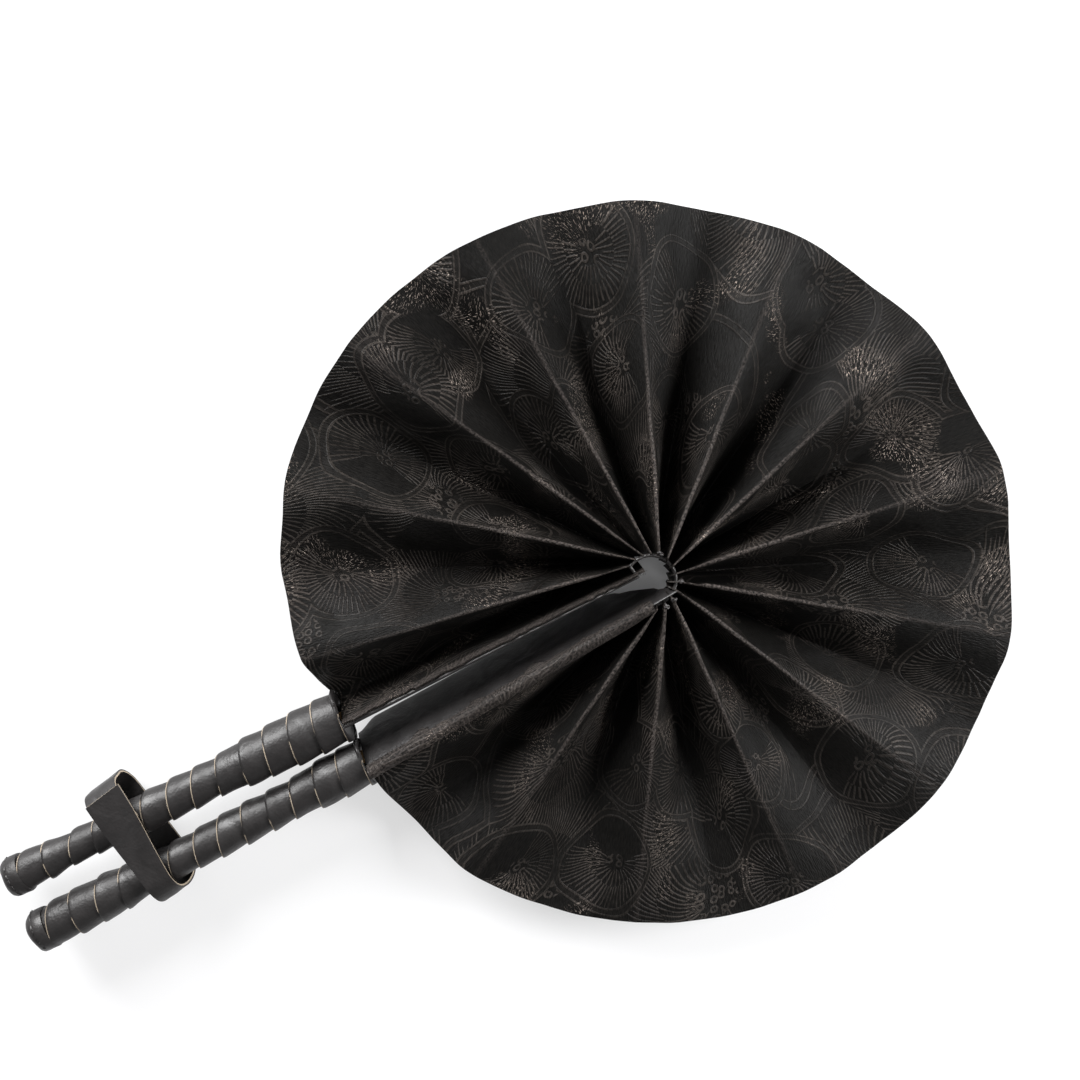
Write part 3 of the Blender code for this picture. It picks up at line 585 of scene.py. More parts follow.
def leaf_strip(looks):
    """Points, normals, cloth map and wear of the whole strip, and the column where each piece starts."""
    lengths = [np.linalg.norm(crease_ends(k)[1] - crease_ends(k)[0]) for k in range(1, CREASES + 2)]
    pieces = {"leaf_end_a": end_a_grid(lengths)}
    for panel in range(1, CREASES + 1):
        pieces[f"leaf_panel_{panel:02d}"] = panel_grid(panel, looks, lengths)
    pieces["leaf_end_b"] = end_b_grid(lengths)
    starts, column = {}, 0
    grids, maps = [], []
    for name, (grid, cloth) in pieces.items():
        shared = 0 if name == "leaf_end_b" else 1
        starts[name] = column
        column += grid.shape[1] - shared
        grids.append(grid[:, : grid.shape[1] - shared])
        maps.append(cloth[:, : grid.shape[1] - shared])
    points, cloth = np.concatenate(grids, 1), np.concatenate(maps, 1)

    # Puckers in the panels' middles, creases that stray, and a rim that is cut a little uneven.
    normals = grid_normals(points)
    u, v = cloth[:, :, 0], cloth[:, :, 1]
    share = np.repeat(ROWS[:, None], points.shape[1], 1)
    free = np.zeros_like(u)
    free[:, starts["leaf_panel_01"] : starts["leaf_end_b"] + 1] = 1
    panels = u / PANEL_WIDTH
    t = panels % 1
    middle = np.sin(math.pi * t) * free
    swell = ripple(u, v, PUCKER_WAVE, 2.3) + 0.6 * ripple(u, v, SMALL_PUCKER_WAVE, 8.9)
    points += normals * (looks.pucker * fade(share * 1.2) * middle * swell)[:, :, None]
    loose = fade(share * 6) * free * fade(panels * 2) * fade((CREASES - panels) * 2)
    for axis, seed in ((0, 1.7), (1, 4.1), (2, 6.3)):
        points[:, :, axis] += looks.crease_wander * loose * ripple(u, v, WANDER_WAVE, seed)
    near_rim = fade((share - 0.8) * 5) * free
    crest = np.where((panels // 1) % 2 == 0, -np.cos(math.pi * t), np.cos(math.pi * t))
    rim = RIM_ROUND * 4 * t * (1 - t) - RIM_DIP * crest + RIM_UNEVEN * ripple(u, v * 0, RIM_WAVE, 5.5)
    away = points[:, :, :2] / np.linalg.norm(points[:, :, :2], axis=2, keepdims=True)
    points[:, :, :2] += away * (rim * near_rim)[:, :, None]

    # Painted highlight along the ridges near the hub, where the crests catch the light, and wear at the
    # strip's cut ends.
    pairs = (panels + 1) % 2
    from_ridge = np.abs(pairs - 2 * np.round(pairs / 2)) * PANEL_WIDTH
    worn = fade(1.25 - from_ridge / RIDGE_HIGHLIGHT_WIDTH) * (1 - 0.8 * fade(share * 1.15 - 0.1)) * free
    worn[:, starts["leaf_end_b"] + 1 :] = END_WORN
    worn[:, :3] = END_WORN
    return points, grid_normals(points), cloth, worn, starts


def blend_span(panel):
    """Where the bend between a panel's two creases starts and ends: past one, and short of the other."""
    near, far = cloth_ends(panel), cloth_ends(panel + 1)
    middle = (near[0] + near[1] + far[0] + far[1]) / 4
    gap = (far[0] + far[1] - near[0] - near[1]) / 2
    way = array(gap[0], gap[1], 0)
    way = way / np.linalg.norm(way) + array(0, 0, math.copysign(1, gap[2]))
    way /= np.linalg.norm(way)
    before = max((spot - middle) @ way for spot in near)
    after = min((spot - middle) @ way for spot in far)
    return Vector(middle + way * before) + HUB, Vector(middle + way * after) + HUB


# Materials.


def add_node(tree, kind, inputs=(), out=0, **settings):
    """Adds a node with its settings, and returns one of its outputs, or the node where out is None.

    Its inputs are given by name or in order, as values or as the sockets to link.
    """
    made = tree.nodes.new(kind if "Node" in kind else "ShaderNode" + kind)
    for name, value in settings.items():
        setattr(made, name, value)
    for name, value in inputs.items() if isinstance(inputs, dict) else enumerate(inputs):
        if isinstance(value, bpy.types.NodeSocket):
            tree.links.new(value, made.inputs[name])
        else:
            made.inputs[name].default_value = value
    return made if out is None else made.outputs[out]


def new_material(name):
    """New material, and the function that adds a node to it."""
    made = bpy.data.materials.new(name)
    made.use_nodes = True
    made.node_tree.nodes.clear()
    return made, partial(add_node, made.node_tree)


# The cloth's woven figure, in millimetres on the cloth. Each scallop has two lines round it, ribs that run
# in from its edge and seed rings in its heart.
SCALLOPS = ((1.0, 20.0, (0, 0, 0)), (1.5, 42.0, (140, 90, 0)))  # share of the motif size, radius, shift
LINE_APART = 1.2  # from the scallop's edge to the middle of each line
RIB_SPACING = 1.8  # near the scallop's edge
SEED_SPACING = 4.2


def brocade():
    """Polyester brocade, satin ground with a woven scallop figure.

    The figure's floats lie across the ground's, so they catch the light where the ground doesn't, and the
    bright weft glints where it comes to the face.
    """
    looks = bpy.context.scene.fan_leaf
    made, node = new_material("polyester_brocade")
    cloth = node("UVMap", uv_map="cloth")
    sized = node("VectorMath", {"Vector": cloth, "Scale": 1 / MM}, operation="SCALE")  # millimetres
    warp = {"Vector": sized, "Scale": 0.022, "Detail": 1.0}
    warp = node("TexNoise", warp, out="Color", noise_dimensions="2D")
    pushed = node("VectorMath", (warp, (0.5, 0.5, 0.5)), operation="SUBTRACT")
    pushed = node("VectorMath", {"Vector": pushed, "Scale": 18.0}, operation="SCALE")
    spot = node("VectorMath", (sized, pushed), operation="ADD")

    # Small scallops in front of large ones, with ribs over part of their turn.
    figure, ahead, lay = None, None, None
    for spacing, radius, shift in SCALLOPS:
        size = looks.motif / MM * spacing
        moved = node("VectorMath", (spot, shift), operation="ADD")
        moved = node("VectorMath", {"Vector": moved, "Scale": 1 / size}, operation="SCALE")
        cells = {"Vector": moved, "Scale": 1.0, "Randomness": 0.8}
        cells = node("TexVoronoi", cells, out=None, voronoi_dimensions="2D")
        local = node("VectorMath", (moved, cells.outputs["Position"]), operation="SUBTRACT")
        local = node("VectorMath", {"Vector": local, "Scale": size}, operation="SCALE")
        axes = node("SeparateXYZ", (local,), out=None)
        far = node("VectorMath", (local,), out="Value", operation="LENGTH")
        turn = node("Math", (axes.outputs["Y"], axes.outputs["X"]), operation="ARCTAN2")
        chance = node("SeparateXYZ", (cells.outputs["Color"],), out="X")
        facing = node("Math", (chance, math.tau, turn), operation="MULTIPLY_ADD")
        facing = node("Math", (facing,), operation="COSINE")
        facing = node("MapRange", (facing, -0.52, -0.5))
        # Two lines 0.7 mm wide round the scallop, 2.4 mm apart, with a fainter ground between them.
        band = node("Math", (far, radius), operation="SUBTRACT")
        band = node("Math", (band,), operation="ABSOLUTE")
        filled = node("MapRange", (band, 1.1, 1.3, 0.12, 0.0))
        line = node("Math", (band, LINE_APART), operation="SUBTRACT")
        line = node("Math", (line,), operation="ABSOLUTE")
        line = node("MapRange", (line, 0.25, 0.45, 0.8, 0.0))
        # Ribs 0.6 mm wide, half as many nearer the scallop's middle, each bent a little.
        count = math.floor(math.tau * radius * 0.8 / (2 * RIB_SPACING))
        outer = node("Math", (far, radius * 0.55), operation="GREATER_THAN")
        many = node("Math", (outer, float(count), float(count)), operation="MULTIPLY_ADD")
        bent = node("Math", (far, 0.009, turn), operation="MULTIPLY_ADD")
        phase = node("Math", (bent, many), operation="MULTIPLY")
        phase = node("Math", (phase, 1 / math.tau), operation="MULTIPLY")
        rib = node("Math", (phase, 1.0), operation="FLOORED_MODULO")
        rib = node("Math", (rib, 0.5), operation="SUBTRACT")
        rib = node("Math", (rib,), operation="ABSOLUTE")
        gap = node("Math", (far, many), operation="DIVIDE")
        gap = node("Math", (gap, math.tau), operation="MULTIPLY")
        rib = node("Math", (rib, gap), operation="MULTIPLY")
        rib = node("MapRange", (rib, 0.2, 0.42, 1.0, 0.0))
        tips = node("TexNoise", {"W": phase, "Scale": 0.9, "Detail": 0.0}, noise_dimensions="1D")
        tips = node("Math", (tips, radius * 0.3, far), operation="MULTIPLY_ADD")
        ends = node("Math", (tips, radius * 0.73), operation="SUBTRACT")
        ends = node("Math", (ends,), operation="ABSOLUTE")
        ends = node("MapRange", (ends, radius * 0.32, radius * 0.34, 1.0, 0.0))
        rib = node("Math", (rib, ends), operation="MULTIPLY")
        rib = node("Math", (rib, facing), operation="MULTIPLY")
        # Seed rings about 3 mm across.
        seeds = {"Vector": spot, "Scale": 1 / SEED_SPACING, "Randomness": 0.6}
        seeds = node("TexVoronoi", seeds, voronoi_dimensions="2D")
        ring = node("Math", (seeds, 0.3), operation="SUBTRACT")
        ring = node("Math", (ring,), operation="ABSOLUTE")
        ring = node("MapRange", (ring, 0.08, 0.13, 0.9, 0.0))
        heart = node("Math", (far, radius * 0.24), operation="LESS_THAN")
        ring = node("Math", (ring, heart), operation="MULTIPLY")
        drawn = node("Math", (line, filled), operation="MAXIMUM")
        drawn = node("Math", (drawn, rib), operation="MAXIMUM")
        drawn = node("Math", (drawn, ring), operation="MAXIMUM")
        floats = node("CombineXYZ", (phase, node("Math", (far, 0.12), operation="MULTIPLY")))
        if figure is None:
            figure, lay = drawn, floats
            ahead = node("Math", (far, radius + 1.5), operation="LESS_THAN")
        else:
            figure = node("Mix", {0: ahead, 2: drawn, 3: figure}, data_type="FLOAT")
            lay = node("Mix", {0: ahead, 4: floats, 5: lay}, out=1, data_type="VECTOR")

    # Satin threads: 0.25 mm apart on the real cloth, drawn 0.6 mm apart so that they show.
    threads = node("Mapping", {"Vector": sized, "Scale": (1.6, 0.35, 1)})
    slub = node("TexNoise", {"Vector": threads, "Scale": 1.0, "Detail": 2.0}, noise_dimensions="2D")

    # Bright weft: dashes of metal thread along the figure's floats, in patches 20 to 30 mm wide.
    patch = node("TexNoise", {"Vector": sized, "Scale": 0.034, "Detail": 1.5}, noise_dimensions="2D")
    # Patches of painted light on the figure, from the same noise as the weft's patches.
    clear = node("MapRange", (patch, 0.4, 0.64, 0.3, 1.0))
    patch = node("MapRange", (patch, 0.6, 0.72))
    dash = {"Vector": lay, "Scale": 5.0, "Detail": 2.0, "Roughness": 0.6}
    dash = node("TexNoise", dash, noise_dimensions="2D")
    dash = node("MapRange", (dash, 0.6, 0.68))
    glint = node("Math", (dash, patch), operation="MULTIPLY")

    # This attribute greys the cloth: a painted highlight along the ridges near the hub, and wear at the cut
    # ends.
    worn = node("Attribute", out="Fac", attribute_name="worn")
    fuzz = node("TexNoise", {"Vector": sized, "Scale": 1.1, "Detail": 2.0}, noise_dimensions="2D")
    fuzz = node("MapRange", (fuzz, 0.3, 0.75))
    worn = node("Math", (worn, fuzz), operation="MULTIPLY")
    # Painted light: the figure is brightened in patches, as where the light catches it. Elsewhere its floats
    # are nearly as dark as the ground.
    figure_in_painted_light = node("Math", (figure, clear), operation="MULTIPLY")
    colour = node("Mix", {0: figure_in_painted_light, 6: (*looks.ground, 1), 7: (*looks.figure, 1)}, out=2, data_type="RGBA")
    speckle = node("MapRange", (slub, 0.3, 0.7, 0.55, 1.6))
    colour = node("VectorMath", {"Vector": colour, "Scale": speckle}, operation="SCALE")
    # Pale grey of the painted ridge highlight and of the worn cut ends.
    colour = node("Mix", {0: worn, 6: colour, 7: (*linear("#4d4744"), 1)}, out=2, data_type="RGBA")
    colour = node("Mix", {0: glint, 6: colour, 7: (*looks.metal_thread, 1)}, out=2, data_type="RGBA")
    rough = node("MapRange", (figure, 0, 1, 0.5, 0.3))
    rough = node("Math", (slub, 0.12, rough), operation="MULTIPLY_ADD")
    height = node("Math", (figure, 0.6, slub), operation="MULTIPLY_ADD")
    height = node("Math", (height, glint), operation="ADD")
    bump = node("Bump", {"Strength": 0.9, "Distance": 0.35 * MM, "Height": height})
    finish = {"Base Color": colour, "Roughness": rough, "Metallic": glint, "Normal": bump}
    shader = node("BsdfPrincipled", {**finish, "Specular IOR Level": 0.1})
    node("OutputMaterial", (shader,), out=None)
    return made


def leather():
    """Bonded leather with a pressed fine grain: half-matt dyed face with soft highlights.

    Its fibrous tan core shows at each cut edge, through the attribute raw.
    """
    looks = bpy.context.scene.fan_leather
    made, node = new_material("bonded_leather")
    place = node("TexCoord", out="Object")
    pebbles = {"Vector": place, "Scale": 1 / looks.grain, "Randomness": 1.0}
    pebbles = node("TexVoronoi", pebbles, feature="SMOOTH_F1")
    # Dents 6 mm apart, creases 17 mm apart and fibres 0.4 mm apart.
    dents = node("TexNoise", {"Vector": place, "Scale": 160.0, "Detail": 4.0, "Roughness": 0.6})
    creases = node("TexNoise", {"Vector": place, "Scale": 60.0, "Detail": 2.0, "Distortion": 1.5})
    raw = node("Attribute", out="Fac", attribute_name="raw")
    fibre = node("TexNoise", {"Vector": place, "Scale": 2500.0, "Detail": 2.0})
    worn = node("MapRange", (dents, 0.35, 0.75, 0.8, 1.35))
    dyed = node("VectorMath", {"Vector": looks.colour[:], "Scale": worn}, operation="SCALE")
    core = node("MapRange", (fibre, 0, 1, 0.6, 1.3))
    core = node("VectorMath", {"Vector": looks.raw_edge[:], "Scale": core}, operation="SCALE")
    edge = node("MapRange", (raw, 0.55, 0.8))
    colour = node("Mix", {0: edge, 6: dyed, 7: core}, out=2, data_type="RGBA")
    rough = node("MapRange", (creases, 0.3, 0.7, 0.38, 0.56))
    rough = node("Mix", {0: edge, 2: rough, 3: 0.85}, data_type="FLOAT")
    height = node("Math", (pebbles, 0.35), operation="MULTIPLY")
    height = node("Math", (height, dents), operation="ADD")
    height = node("Math", (creases, 2.5, height), operation="MULTIPLY_ADD")
    bump = node("Bump", {"Strength": 0.45, "Distance": 0.5 * MM, "Height": height})
    finish = {"Base Color": colour, "Roughness": rough, "Normal": bump, "Specular IOR Level": 0.4}
    shader = node("BsdfPrincipled", finish)
    node("OutputMaterial", (shader,), out=None)
    return made


def waxed_thread():
    """Waxed cotton sewing thread, two plies: dull black with a small highlight along each ply."""
    made, node = new_material("waxed_cotton_thread")
    place = node("TexCoord", out="Object")
    # Fuzz 0.3 mm apart and plies 0.9 mm apart.
    fuzz = node("TexNoise", {"Vector": place, "Scale": 3000.0, "Detail": 2.0})
    ply = {"Vector": place, "Scale": 350.0, "Distortion": 2.0}
    ply = node("TexWave", ply, out="Fac", bands_direction="DIAGONAL")
    dark, pale = (*linear("#0d0c0c"), 1), (*linear("#3a3635"), 1)
    colour = node("Mix", {0: fuzz, 6: dark, 7: pale}, out=2, data_type="RGBA")
    height = node("Math", (ply, fuzz), operation="ADD")
    bump = node("Bump", {"Strength": 0.6, "Distance": 0.2 * MM, "Height": height})
    shader = node("BsdfPrincipled", {"Base Color": colour, "Roughness": 0.4, "Normal": bump})
    node("OutputMaterial", (shader,), out=None)
    return made


def palm_wood():
    """Palm-leaf midrib, split and scraped: pale brown with dark vascular streaks along its length."""
    made, node = new_material("palm_midrib_wood")
    place = node("TexCoord", out="Object")
    # Streaks 1.1 mm apart and 45 mm long.
    long = node("Mapping", {"Vector": place, "Scale": (900.0, 22.0, 900.0)})
    grain = node("TexNoise", {"Vector": long, "Scale": 1.0, "Detail": 3.0})
    streak = node("MapRange", (grain, 0.35, 0.65))
    dark, pale = (*linear("#8a6a45"), 1), (*linear("#c2a072"), 1)
    colour = node("Mix", {0: streak, 6: dark, 7: pale}, out=2, data_type="RGBA")
    rough = node("MapRange", (grain, 0, 1, 0.6, 0.8))
    bump = node("Bump", {"Strength": 0.3, "Distance": 0.2 * MM, "Height": grain})
    shader = node("BsdfPrincipled", {"Base Color": colour, "Roughness": rough, "Normal": bump})
    node("OutputMaterial", (shader,), out=None)
    return made


MATERIALS = {"brocade": brocade, "leather": leather, "thread": waxed_thread, "wood": palm_wood}
MADE = {}


def look(name):
    """Each material is made once, when the first piece asks for it."""
    if name not in MADE:
        MADE[name] = MATERIALS[name]()
    return MADE[name]


# Geometry Nodes.


def node_tree(name, sockets):
    """New geometry tree, the function that adds a node to it, its input sockets and their identifiers."""
    tree = bpy.data.node_groups.new(name, "GeometryNodeTree")
    face, ids = tree.interface, {}
    for label, kind in sockets.items():
        ids[label] = face.new_socket(label, in_out="INPUT", socket_type="NodeSocket" + kind).identifier
    face.new_socket("Geometry", in_out="OUTPUT", socket_type="NodeSocketGeometry")
    node = partial(add_node, tree)
    return tree, node, node("NodeGroupInput", out=None).outputs, ids


def finish_tree(node, geometry, paint):
    """Ends a tree: its instances made real, and then its material."""
    real = node("GeometryNodeRealizeInstances", (geometry,))
    dressed = node("GeometryNodeSetMaterial", {"Geometry": real, "Material": paint})
    node("NodeGroupOutput", (dressed,), out=None)


def grown(name, tree, ids, values, solid=None):
    """Runs a geometry tree on an empty mesh and returns the plain mesh it makes, as an object."""
    carrier = link(name + "_source", bpy.data.meshes.new(name + "_source"))
    modifier = carrier.modifiers.new("tree", "NODES")
    modifier.node_group = tree
    for label, value in values.items():
        modifier[ids[label]] = value
    if solid:
        wall = carrier.modifiers.new("wall", "SOLIDIFY")
        wall.thickness, wall.offset, wall.use_even_offset = solid, -1, False
    graph = bpy.context.evaluated_depsgraph_get()
    mesh = bpy.data.meshes.new_from_object(carrier.evaluated_get(graph))
    mesh.name = name
    bpy.data.objects.remove(carrier, do_unlink=True)
    return link(name, mesh)


STRIP_ROWS = 15
STRIP_FOLD = 0.22 * MM  # how far the strip's cut edge is pressed down


def wound_strip_tree():
    """Leather strip wound in lapped turns round a grip's axis curve, whose radius is the grip's."""
    sockets = {
        "Axis": "Object", "Side": "Vector", "Front": "Vector", "Length": "Float", "Pitch": "Float",
        "Step": "Float", "Lap": "Float", "Wobble": "Float", "Turns": "Float", "Columns": "Int",
        "Top": "Float", "Leather": "Material",
    }
    tree, node, get, ids = node_tree("wound_strip", sockets)
    axis = node("GeometryNodeObjectInfo", {"Object": get["Axis"]}, out="Geometry")
    grid = {"Size X": 1.0, "Size Y": 1.0, "Vertices X": get["Columns"], "Vertices Y": STRIP_ROWS}
    grid = node("GeometryNodeMeshGrid", grid)
    where = node("SeparateXYZ", (node("GeometryNodeInputPosition"),), out=None)
    u = node("Math", (where.outputs["X"], 0.5), operation="ADD")
    w = node("Math", (where.outputs["Y"], 0.5), operation="ADD")
    # Across the strip w runs from minus the lap to 1, in pitches. The lap lies under the turn above.
    wide = node("Math", (get["Lap"], 1.0), operation="ADD")
    w = node("Math", (w, wide), operation="MULTIPLY")
    w = node("Math", (w, get["Lap"]), operation="SUBTRACT")
    turned = node("Math", (u, get["Turns"]), operation="MULTIPLY")
    angle = node("Math", (turned, -math.tau), operation="MULTIPLY")
    stray = node("TexNoise", {"W": turned, "Scale": 1.1, "Detail": 1.0}, noise_dimensions="1D")
    stray = node("Math", (stray, 0.5), operation="SUBTRACT")
    stray = node("Math", (stray, get["Wobble"]), operation="MULTIPLY")
    stray = node("Math", (stray, 3.0), operation="MULTIPLY")
    # Past the grip's ends the strip is squeezed flat onto them, and its cut edge isn't drawn there.
    spare = node("Math", (turned, 1.7), operation="SUBTRACT")
    spare = node("Math", (spare, w), operation="ADD")
    distance = node("Math", (spare, get["Pitch"]), operation="MULTIPLY")
    loose = node("Math", (distance, stray), operation="ADD")
    distance = node("Clamp", {"Value": loose, "Min": get["Top"], "Max": get["Length"]})
    sample = {"Curves": axis, "Value": node("GeometryNodeInputRadius"), "Length": distance}
    sample = node("GeometryNodeSampleCurve", sample, out=None, mode="LENGTH", use_all_curves=False)
    lift = node("Math", (w, 0.5), operation="SUBTRACT")
    lift = node("Math", (lift, get["Step"]), operation="MULTIPLY")
    tuck = node("MapRange", (w, 0.94, 1.0, 0, STRIP_FOLD), interpolation_type="SMOOTHERSTEP")
    lift = node("Math", (lift, tuck), operation="SUBTRACT")
    uneven = node("TexNoise", {"W": turned, "Scale": 1.4, "Detail": 1.0}, noise_dimensions="1D")
    uneven = node("MapRange", (uneven, 0.3, 0.7, 0.75, 1.2))
    lift = node("Math", (lift, uneven), operation="MULTIPLY")
    radius = node("Math", (sample.outputs["Value"], lift), operation="ADD")
    # Round the axis: sideways and to the front.
    along_side = node("Math", (angle,), operation="COSINE")
    along_side = node("Math", (along_side, radius), operation="MULTIPLY")
    along_front = node("Math", (angle,), operation="SINE")
    along_front = node("Math", (along_front, radius), operation="MULTIPLY")
    side = node("VectorMath", {"Vector": get["Side"], "Scale": along_side}, operation="SCALE")
    front = node("VectorMath", {"Vector": get["Front"], "Scale": along_front}, operation="SCALE")
    spot = node("VectorMath", (sample.outputs["Position"], side), operation="ADD")
    spot = node("VectorMath", (spot, front), operation="ADD")
    seen = node("Math", (loose, get["Top"]), operation="GREATER_THAN")
    kept = node("Math", (loose, get["Length"]), operation="LESS_THAN")
    # The pale core shows along the outer edge, in patches.
    raw = node("MapRange", (w, 0.98, 0.999))
    raw = node("Math", (raw, seen), operation="MULTIPLY")
    raw = node("Math", (raw, kept), operation="MULTIPLY")
    patchy = node("TexNoise", {"W": turned, "Scale": 3.1, "Detail": 2.0}, noise_dimensions="1D")
    patchy = node("MapRange", (patchy, 0.34, 0.46, 0.3, 1.0))
    raw = node("Math", (raw, patchy), operation="MULTIPLY")
    marked = {"Geometry": grid, "Name": "raw", "Value": raw}
    marked = node("GeometryNodeStoreNamedAttribute", marked, data_type="FLOAT", domain="POINT")
    wound = node("GeometryNodeSetPosition", {"Geometry": marked, "Position": spot})
    flipped = node("GeometryNodeFlipFaces", {"Mesh": wound})
    merged = node("GeometryNodeMergeByDistance", {"Geometry": flipped, "Distance": 0.01 * MM})
    smooth = node("GeometryNodeSetShadeSmooth", {"Geometry": merged})
    finish_tree(node, smooth, get["Leather"])
    return tree, ids


def fray_tree():
    """Loose fibres that stand out along a cut cloth edge."""
    sockets = {
        "Edge": "Object", "Count": "Int", "Length": "Float", "Thickness": "Float", "Out": "Vector",
        "Seed": "Int", "Thread": "Material",
    }
    tree, node, get, ids = node_tree("frayed_fibres", sockets)
    edge = node("GeometryNodeObjectInfo", {"Object": get["Edge"]}, out="Geometry")
    spots = {"Curve": edge, "Count": get["Count"]}
    spots = node("GeometryNodeCurveToPoints", spots, out="Points", mode="COUNT")
    stray = {0: (-0.8, -0.8, -0.8), 1: (0.8, 0.8, 0.8), "Seed": get["Seed"]}
    stray = node("FunctionNodeRandomValue", stray, data_type="FLOAT_VECTOR")
    way = node("VectorMath", (get["Out"], stray), operation="ADD")
    turn = node("FunctionNodeAlignRotationToVector", {"Vector": way}, axis="Z")
    long = {2: 0.3, 3: 1.0, "Seed": get["Seed"]}
    long = node("FunctionNodeRandomValue", long, out=1, data_type="FLOAT")
    # One fibre of unit length, rooted in the cloth and curling over at its end.
    bent = {"Start": (0, 0, -0.15), "Start Handle": (0, 0.1, 0.3), "End Handle": (0.15, 0.2, 0.7)}
    bent = {"Resolution": 4, **bent, "End": (0.45, 0.0, 0.9)}
    fibre = node("GeometryNodeCurvePrimitiveBezierSegment", bent)
    size = node("CombineXYZ", (get["Length"],) * 3)
    sized = node("GeometryNodeTransform", {"Geometry": fibre, "Scale": size})
    section = {"Resolution": 3, "Radius": get["Thickness"]}
    section = node("GeometryNodeCurvePrimitiveCircle", section, mode="RADIUS")
    solid = node("GeometryNodeCurveToMesh", {"Curve": sized, "Profile Curve": section, "Fill Caps": True})
    spread = {"Points": spots, "Instance": solid, "Rotation": turn, "Scale": long}
    spread = node("GeometryNodeInstanceOnPoints", spread)
    finish_tree(node, spread, get["Thread"])
    return tree, ids


def curve_object(name, points, radii=None):
    data = bpy.data.curves.new(name, "CURVE")
    data.dimensions = "3D"
    spline = data.splines.new("POLY")
    spline.points.add(len(points) - 1)
    for i, (point, spot) in enumerate(zip(spline.points, points)):
        point.co = (*spot, 1)
        if radii is not None:
            point.radius = radii[i]
    made = bpy.data.objects.new(name, data)
    bpy.context.scene.collection.objects.link(made)
    return made


def tube(name, points, radius, paint, sides=2):
    """Round closed tube along points, as a plain mesh."""
    source = curve_object(name + "_path", points)
    source.data.bevel_depth = radius
    source.data.bevel_resolution = sides
    source.data.use_fill_caps = True
    bpy.context.view_layer.update()
    graph = bpy.context.evaluated_depsgraph_get()
    mesh = bpy.data.meshes.new_from_object(source.evaluated_get(graph))
    mesh.name = name
    bpy.data.objects.remove(source, do_unlink=True)
    mesh.shade_smooth()
    return link(name, mesh, paint)


# Operators: one for each group of pieces.

FRAY_FIBRES = 420
GUARD_ROWS, GUARD_SIDES = 64, 44
# Across guard B from its back to its front: where its inner end lies, as a share of its length.
GUARD_B_SLANT = ((-1, -0.5, 0, 0.5, 1), (0.14, 0.075, -0.01, -0.05, -0.08))
BUTT_PROFILE = (  # share of the butt's radius, and millimetres along the grip
    (0.9, -2.0), (0.97, -1.9), (1.0, -1.2), (1.0, 1.5), (0.99, 3.0), (0.95, 4.2), (0.87, 5.1), (0.75, 5.7),
    (0.55, 6.0), (0.3, 5.9), (0.06, 5.5),
)
THREAD_TUCK = 2.4 * MM  # how much further the thread's ends go towards the guards than in the solids
KNOTS = ((5, 1.5, 1), (9, 1.3, 2), (11, 1.4, 3), (12, 1.5, 4))  # ridge, radius in millimetres, turn
CAMERA_TIP = math.radians(7.7)  # from straight above, towards guard A's side
CAMERA_TURN = math.radians(26)  # of the picture's sides from the handles' direction
CAMERA_DISTANCE = 0.52
CAMERA_SHIFT = Vector((-31.4, -32.6, 0)) * MM  # from the hub to the spot that the camera looks at
FLOOR_HALF = 6.0
STRIP_SPARE_TURNS = 2.9  # wound past a grip's ends, where they are squeezed flat
STRIP_COLUMNS = 44  # in a turn
COLLAR_HOLE = 4.6  # millimetres, like the rest of its profile
KNOT_POINTS = 44


class FanLeaf(bpy.types.Operator):
    """Makes the leaf: 27 panels and the two ends that are fixed to the guards"""

    bl_idname = "fan.leaf"
    bl_label = "Leaf"

    def execute(self, context):
        looks = context.scene.fan_leaf
        points, normals, cloth, worn, starts = leaf_strip(looks)
        tree, ids = fray_tree()
        for name, column, out in (("leaf_end_a", 0, (0.5, 0, 0.8)), ("leaf_end_b", -1, (-0.8, 0.1, -0.3))):
            self.fray(name, points[:, column], out, looks, tree, ids)
        names = list(starts)
        for name, following in zip(names, names[1:] + [None]):
            first = starts[name]
            last = starts[following] if following else points.shape[1] - 1
            span = slice(first, last + 1)
            piece = shell(
                name + "_cloth", points[:, span], normals[:, span], looks.thickness, look("brocade"),
                cloth[:, span], {"worn": worn[:, span]},
            )
            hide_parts(name)
            is_end = name.startswith("leaf_end")
            if is_end:
                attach(piece, "handle_" + name[-1])
            else:
                panel = int(name[-2:])
                start, end = blend_span(panel)
                tuple(start)
                tuple(end)
                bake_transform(piece)
        return {"FINISHED"}

    def fray(self, name, edge, out, looks, tree, ids):
        """Loose fibres along the cut edge of one of the leaf's ends."""
        spots = [Vector(spot) + HUB for spot in edge]
        source = curve_object(name + "_edge", spots)
        values = {
            "Edge": source, "Count": FRAY_FIBRES, "Length": looks.fray_length,
            "Thickness": looks.fray_thickness, "Out": out, "Seed": 5, "Thread": look("brocade"),
        }
        fibres = grown(name + "_fibres", tree, ids, values)
        bpy.data.objects.remove(source, do_unlink=True)
        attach(fibres, "handle_" + name[-1])
        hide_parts(name)


